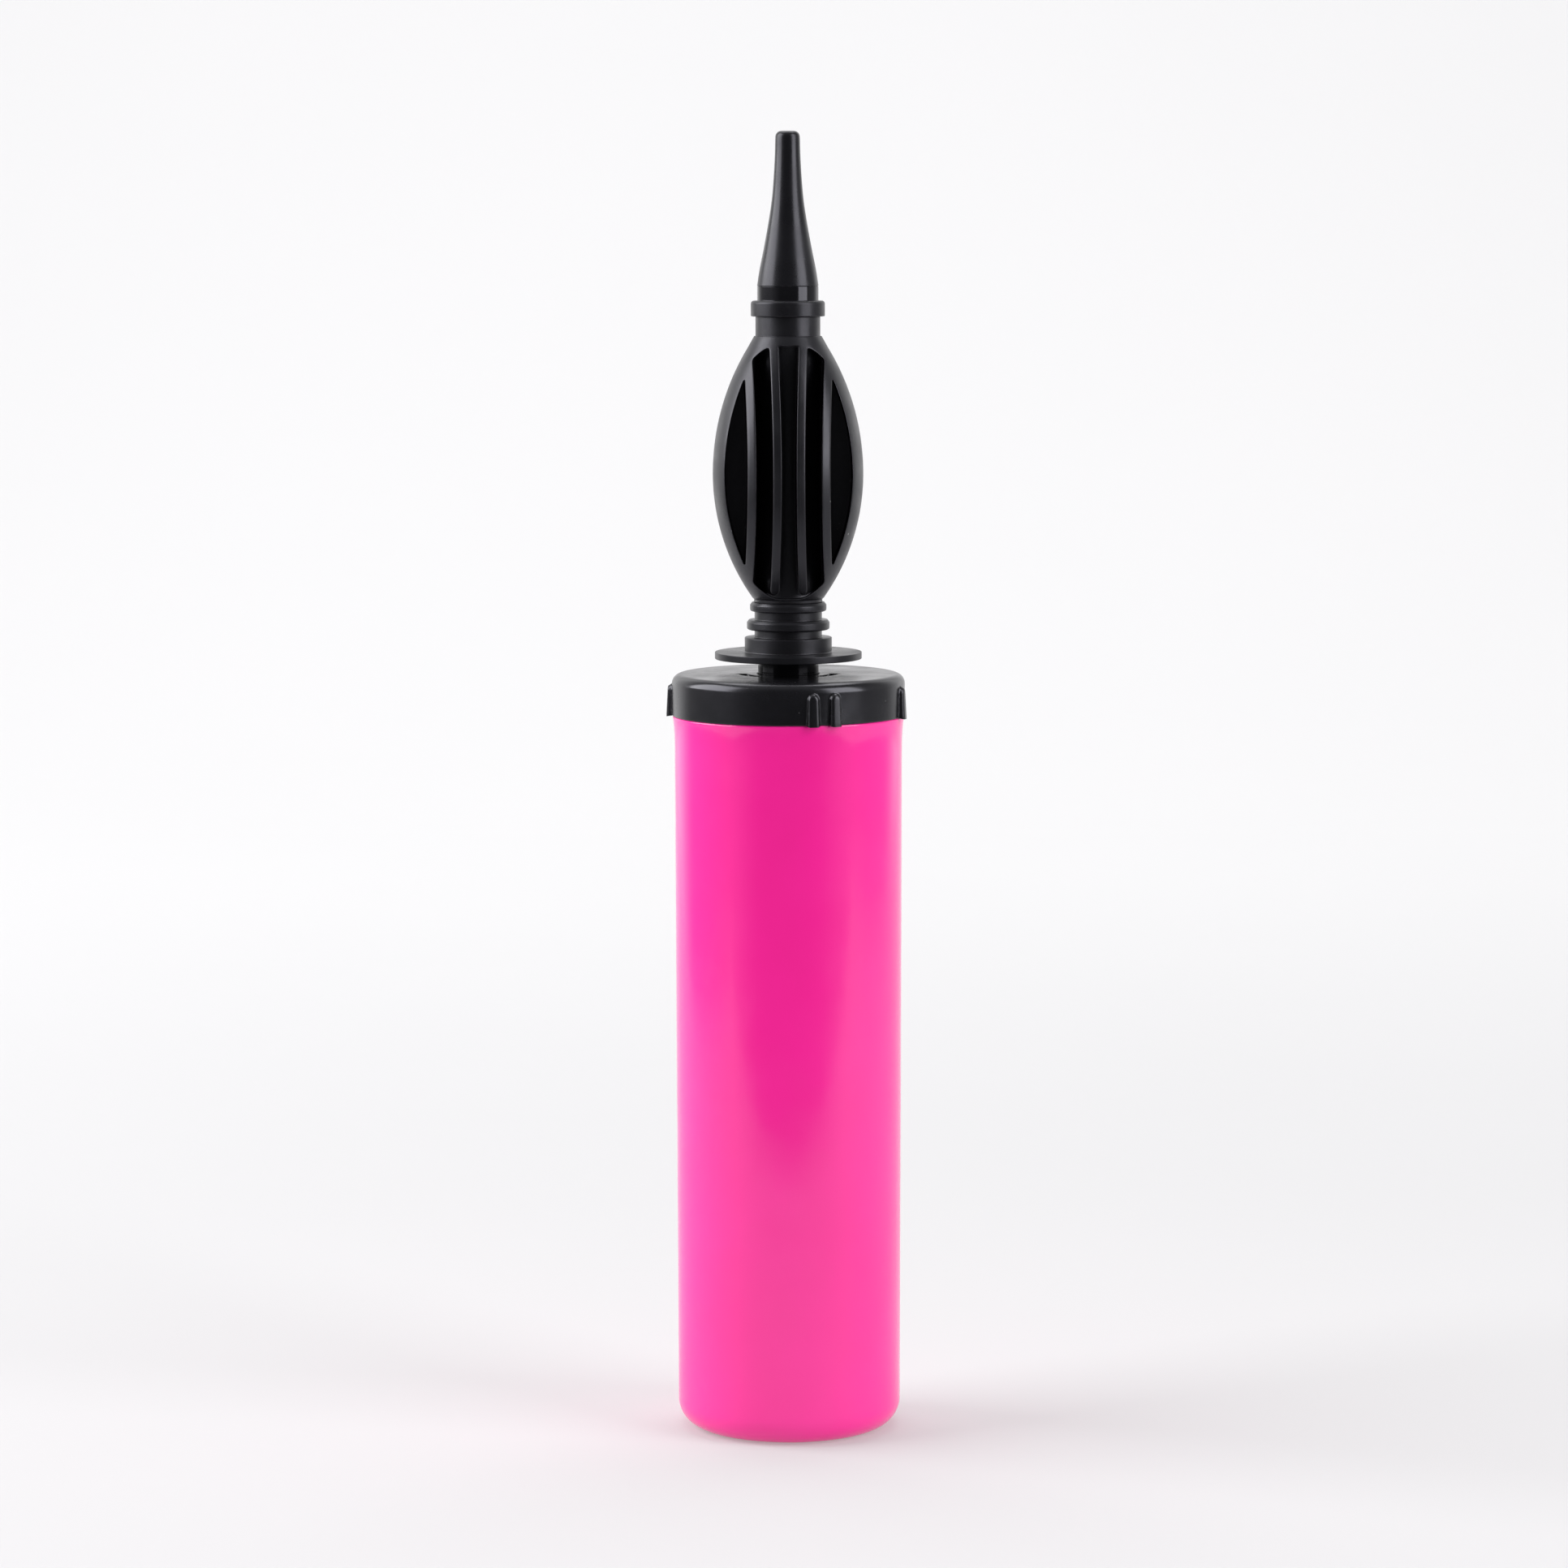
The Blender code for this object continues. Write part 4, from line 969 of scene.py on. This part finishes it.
SPIGOT_R = 5.5            # the rod's narrower top, which the grip sits on
ROD_BORE_R = 5.25
ROD_BORE_TOP = 172.5
ROD_END = 6.0             # stretch at both ends of the rod without extra rows


def make_rod():
    outline = [(SPIGOT_R, ROD_TOP, 0.3), (SPIGOT_R, ROD_SHOULDER_Z, 0.1), (ROD_R, ROD_SHOULDER_Z, 0.3)]
    outline += [(ROD_R, z) for z in divide(ROD_SHOULDER_Z - ROD_END, ROD_FOOT + ROD_END, 10.0)]
    outline += [(ROD_R, ROD_FOOT, 0.3), (ROD_BORE_R, ROD_FOOT, 0.2), (ROD_BORE_R, ROD_BORE_TOP)]
    outline += [(AIRWAY_R, ROD_BORE_TOP + 1.0), (AIRWAY_R, ROD_TOP, 0.2)]
    return spun("rod_tube", soften(outline), ROD_BLACK)


# --- nozzle ---

BAND_R = 6.775            # the glossy band above the flange
BAND_BORE_R = 4.4
PLUG_R = 5.1
PLUG_BORE_R = 3.2
PLUG_BORE_TOP = 246.0
CONE_FOOT = BASE_TOP + TOUCH
CONE_SPIGOT_R = 4.1
CONE_BORE_R = 2.8
CONE_WALL = 1.3           # at the tip; a little thicker further down
GROOVE_FLOOR_R = 3.55     # of the O-ring's groove in the cone's spigot
GROOVE_Z = (250.0, 251.1)
CONE_OUTLINE = (
    (256.0, 6.8), (259.1, 6.33), (264.4, 5.28), (269.7, 4.31), (275.1, 3.5), (280.4, 3.05), (285.7, 2.79),
)
CONE_TIP_R = 2.7
TIP_ROUND = 1.3
OUTLET_R = 0.9


def cone_radius(z):
    """A smooth curve through the cone's outline."""
    heights = [h for h, _ in CONE_OUTLINE] + [TIP_Z]
    radii = [r for _, r in CONE_OUTLINE] + [CONE_TIP_R]
    slopes = np.gradient(radii, heights)
    i = max(0, min(len(heights) - 2, int(np.searchsorted(heights, z)) - 1))
    width = heights[i + 1] - heights[i]
    t = (z - heights[i]) / width
    stay = 2 * t ** 3 - 3 * t ** 2 + 1
    return float(
        stay * radii[i] + (1 - stay) * radii[i + 1]
        + width * ((t ** 3 - 2 * t ** 2 + t) * slopes[i] + (t ** 3 - t ** 2) * slopes[i + 1])
    )


def make_nozzle_base():
    outline = [(BAND_BORE_R, BASE_TOP, 0.1), (BAND_R, BASE_TOP, 0.12), (BAND_R, FLANGE_TOP_Z, 0.15)]
    outline += [(BASE_R, FLANGE_TOP_Z, 0.95), (BASE_R, FLANGE_Z, 0.2), (PLUG_R, FLANGE_Z, 0.1)]
    outline += [(PLUG_R, PLUG_FOOT, 0.4), (PLUG_BORE_R, PLUG_FOOT, 0.2)]
    outline += [(PLUG_BORE_R, PLUG_BORE_TOP, 0.1), (BAND_BORE_R, PLUG_BORE_TOP, 0.1)]
    obj = spun("nozzle_base_ring", soften(outline), BASE_BLACK)
    obj.data.materials.append(BAND_BLACK)
    for face in obj.data.polygons:
        middle = face.center / MM
        if middle.z > FLANGE_TOP_Z + 0.05 and math.hypot(middle.x, middle.y) > BAND_BORE_R + 0.2:
            face.material_index = 1
    return obj


def make_neck_gasket():
    low, high = GRIP_TOP + TOUCH, FLANGE_Z - TOUCH
    outline = [(SOCKET_R, high, 0.1), (GASKET_R, high, 0.15), (GASKET_R, low, 0.15), (SOCKET_R, low, 0.1)]
    return spun("neck_gasket_ring", soften(outline), SEAL_RUBBER)


def make_cone():
    outline = arc(CONE_TIP_R - TIP_ROUND, TIP_Z - TIP_ROUND, TIP_ROUND, 90.0, 0.0, 12)
    outline += [(cone_radius(z), z) for z in divide(TIP_Z - TIP_ROUND - 0.6, CONE_FOOT + 0.25, 0.9)]
    outline += [(cone_radius(CONE_FOOT), CONE_FOOT, 0.12), (CONE_SPIGOT_R, CONE_FOOT, 0.1)]
    groove_foot, groove_top = GROOVE_Z
    outline += [(CONE_SPIGOT_R, groove_top, 0.05), (GROOVE_FLOOR_R, groove_top, 0.05)]
    outline += [(GROOVE_FLOOR_R, groove_foot, 0.05), (CONE_SPIGOT_R, groove_foot, 0.05)]
    outline += [(CONE_SPIGOT_R, CONE_SPIGOT_FOOT, 0.25)]
    outline += [(CONE_BORE_R, CONE_SPIGOT_FOOT, 0.1), (CONE_BORE_R, CONE_FOOT)]
    for z, radius in CONE_OUTLINE[1:]:
        wall = CONE_WALL * (1.0 + (radius - CONE_TIP_R) / 8.0)
        outline.append((max(OUTLET_R, radius - wall), z))
    outline += [(OUTLET_R, TIP_Z - TIP_ROUND), (OUTLET_R, TIP_Z, 0.15)]
    return spun("nozzle_cone_tip", soften(outline), CONE_BLACK)


# --- pieces on their bodies ---


def place(obj, node, body):
    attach(obj, body)
    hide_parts(node)


place(make_barrel(), "barrel", "barrel")
place(make_cap(), "barrel_cap", "barrel")
place(make_rod(), "piston_rod", "handle")
place(make_collar(), "handle_collar", "handle")
place(make_grip(), "handle_grip", "handle")
place(make_nozzle_base(), "nozzle_base", "handle")
place(make_cone(), "nozzle_cone", "nozzle")
place(make_neck_gasket(), "neck_gasket", "handle")

BODIES = frame["record"]["behaviour"]["bodies"]
BODY_OF = {node: body for body, nodes in BODIES.items() for node in nodes}

INSIDE_LOOKS = {"seal_rubber": SEAL_RUBBER, "inner_plastic": INNER_WHITE}

# turned CAD nodes inside the pump: how many facets each has, and its slot
TURNED_INSIDE = {
    "cap_gasket": (40, "seal_rubber"),
    "rod_bushing": (24, "inner_plastic"),
    "rod_seal": (24, "seal_rubber"),
    "gland_ring": (24, "inner_plastic"),
    "cap_intake_flap": (24, "seal_rubber"),
    "foot_intake_flap": (24, "seal_rubber"),
    "foot_flap_pin": (12, "inner_plastic"),
    "piston_seal": (40, "seal_rubber"),
    "stroke_bumper": (24, "seal_rubber"),
    "upper_delivery_flap": (24, "seal_rubber"),
    "upper_flap_retainer": (24, "inner_plastic"),
    "lower_delivery_flap": (24, "seal_rubber"),
    "lower_flap_pin": (12, "inner_plastic"),
    "handle_gasket": (24, "seal_rubber"),
    "nozzle_o_ring": (24, "seal_rubber"),
}

for node, (steps, slot) in TURNED_INSIDE.items():
    corners = [(r, z, 0.12) for r, z in section(node, 90.0 + 180.0 / steps, steps)]
    piece = spun(node + "_turned", soften(corners, per_piece=30.0), INSIDE_LOOKS[slot])
    place(piece, node, BODY_OF[node])

for node in ("piston_base", "piston_crown"):
    mesh = frame["nodes"][node].data
    mesh.materials.clear()
    mesh.materials.append(INNER_WHITE)


# --- floor, backdrop, lights, camera (in metres) ---

PAPER_COLOUR = (0.385, 0.381, 0.39)
PAPER_SPREAD = 0.004
GLOW = (0.285, 0.505)     # the paper's own light, in front and far behind
GLOW_FROM = 0.2           # how far behind the pump the glow starts to grow
GLOW_FULL = 1.2
ROLL_Y = -0.34            # where the paper rolls down in front
ROLL_R = 0.16
COVE_Y = 1.1              # where it starts to curve up behind
COVE_R = 0.5
PAPER_TOP = 2.2
PAPER_X = (-0.6, 0.85)
PAPER_DROP = 0.00005      # how far the paper lies below the pump's foot
FLOOR_DROP = 0.0015       # and the floor beyond the paper
FLOOR_R = 1.2


def paper_material():
    """Seamless studio paper, lit from behind where it rises: almost even, with a faint fibre."""
    material = bpy.data.materials.new("paper")
    g = Graph(material)
    at = g.node("TexCoord").outputs["Object"]
    darkest, palest = rgb(PAPER_COLOUR, 1.0 - PAPER_SPREAD), rgb(PAPER_COLOUR, 1.0 + PAPER_SPREAD)
    tint = g.mix(g.ramp(g.noise(at, 6.0, 4.0), 0.3, 0.7), darkest, palest)
    fibre = g.node("Bump", Height=g.noise(at, 900.0, 3.0), Strength=0.1, Distance=0.00005).outputs[0]
    behind = g.node("SeparateXYZ", Vector=at).outputs[1]
    light = g.ramp(behind, GLOW_FROM, GLOW_FULL, *GLOW)
    shader = g.node("BsdfPrincipled", Base_Color=tint, Roughness=0.9, Normal=fibre, Emission_Strength=light)
    shader.inputs["Emission Color"].default_value = (1.0, 1.0, 1.0, 1.0)
    shader.inputs["Specular IOR Level"].default_value = 0.2
    g.put(g.node("OutputMaterial").inputs["Surface"], shader.outputs[0])
    return material


PAPER = paper_material()


def make_stage():
    """A paper sweep: a table top that rolls down in front and curves up into a backdrop behind."""
    front = np.linspace(math.pi / 2, 0.0, 13)
    back = np.linspace(0.05, math.pi / 2, 16)
    line = [(ROLL_Y - ROLL_R * math.sin(t), ROLL_R * math.cos(t) - ROLL_R) for t in front]
    line += [(COVE_Y, 0.0)]
    line += [(COVE_Y + COVE_R * math.sin(t), COVE_R - COVE_R * math.cos(t)) for t in back]
    line += [(COVE_Y + COVE_R, PAPER_TOP)]
    verts = [Vector((x, y, z)) / MM for y, z in line for x in PAPER_X]
    faces = [(2 * i, 2 * i + 1, 2 * i + 3, 2 * i + 2) for i in range(len(line) - 1)]
    obj = finish_mesh("paper_sweep", verts, faces, PAPER)
    obj.location.z = -PAPER_DROP


def make_outer_floor():
    """The floor beyond the paper, for views from the sides and from behind. It lights and mirrors nothing."""
    turns = [math.radians(t) for t in even_turns(64)]
    verts = [Vector((FLOOR_R * math.cos(t), FLOOR_R * math.sin(t), -FLOOR_DROP)) / MM for t in turns]
    obj = finish_mesh("outer_floor", verts, [tuple(range(len(verts)))], PAPER)
    obj.visible_glossy = False
    obj.visible_diffuse = False
    obj.visible_shadow = False


make_stage()
make_outer_floor()


def area_light(name, size, radiance, at, target):
    """A rectangular light of this radiance that faces the target, unseen by the camera."""
    width, height = size
    data = bpy.data.lights.new(name, "AREA")
    data.shape = "RECTANGLE"
    data.size, data.size_y = width, height
    data.energy = radiance * math.pi * width * height
    obj = bpy.data.objects.new(name, data)
    bpy.context.scene.collection.objects.link(obj)
    obj.location = at
    obj.rotation_mode = "QUATERNION"
    obj.rotation_quaternion = (Vector(target) - Vector(at)).to_track_quat("-Z", "Y")
    obj.visible_camera = False


def softbox(name, azimuth, distance, width, low, high, radiance):
    """An upright light from one height to another that faces the pump's axis."""
    angle = math.radians(azimuth)
    middle = (low + high) / 2
    at = (distance * math.sin(angle), -distance * math.cos(angle), middle)
    area_light(name, (width, high - low), radiance, at, (0.0, 0.0, middle))


softbox("softbox_right", azimuth=59.0, distance=1.3, width=0.85, low=0.17, high=1.6, radiance=4.9)
softbox("softbox_left", azimuth=-87.0, distance=1.3, width=1.35, low=0.29, high=1.8, radiance=5.7)
area_light("top_light", size=(1.4, 0.8), radiance=3.4, at=(0.0, 0.55, 1.6), target=(0.0, 0.0, 0.1))

ROOM_FRONT = 0.11         # how bright the room is in front of the pump, at its sides and behind it
ROOM_SIDE = 0.5
ROOM_BACK = 1.3
ROOM_BELOW = 0.75         # below the horizon, as a share of that
ROOM_ZENITH = 0.35        # share of pure white straight above
CAMERA_SEES = (0.955, 0.955, 0.96, 1.0)    # in place of the room


def make_world():
    """A dim room with brighter sides and back lights the pump. The camera itself sees a plain pale wall."""
    world = bpy.data.worlds.new("studio")
    bpy.context.scene.world = world
    g = Graph(world)
    x, y, z = g.node("SeparateXYZ", Vector=g.node("TexCoord").outputs["Generated"]).outputs
    side = g.ramp(g.math("ABSOLUTE", x), 0.45, 0.95, ROOM_FRONT, ROOM_SIDE)
    side = g.math("MULTIPLY", side, g.ramp(z, -0.12, 0.0, ROOM_BELOW, 1.0))
    side = g.mix(side, rgb((0.0, 0.0, 0.0)), rgb((1.0, 1.0, 1.0)))
    room = g.mix(g.ramp(y, 0.35, 0.8), side, (ROOM_BACK, ROOM_BACK, ROOM_BACK, 1.0))
    room = g.mix(g.ramp(z, 0.5, 1.0, 0.0, ROOM_ZENITH), room, rgb((1.0, 1.0, 1.0)))
    seen = g.node("LightPath").outputs["Is Camera Ray"]
    shade = g.node("Background", Color=g.mix(seen, room, CAMERA_SEES), Strength=1.0)
    g.put(g.node("OutputWorld").inputs["Surface"], shade.outputs[0])


make_world()

CAMERA_AT = (-0.0010, -1.144, 0.2746)
CAMERA_DOWN = 6.447
CAMERA_ROLL = -0.085
CAMERA_LENS = 118.4       # millimetres, on a sensor 36 wide


def make_camera():
    data = bpy.data.cameras.new("camera")
    data.sensor_width = 36.0
    data.lens = CAMERA_LENS
    obj = bpy.data.objects.new("camera", data)
    bpy.context.scene.collection.objects.link(obj)
    obj.location = CAMERA_AT
    tilt = Matrix.Rotation(math.radians(90.0 - CAMERA_DOWN), 4, "X")
    roll = Matrix.Rotation(math.radians(CAMERA_ROLL), 4, "Z")
    obj.rotation_mode = "QUATERNION"
    obj.rotation_quaternion = (tilt @ roll).to_quaternion()
    bpy.context.scene.camera = obj


make_camera()
bpy.context.scene.view_settings.view_transform = "Standard"
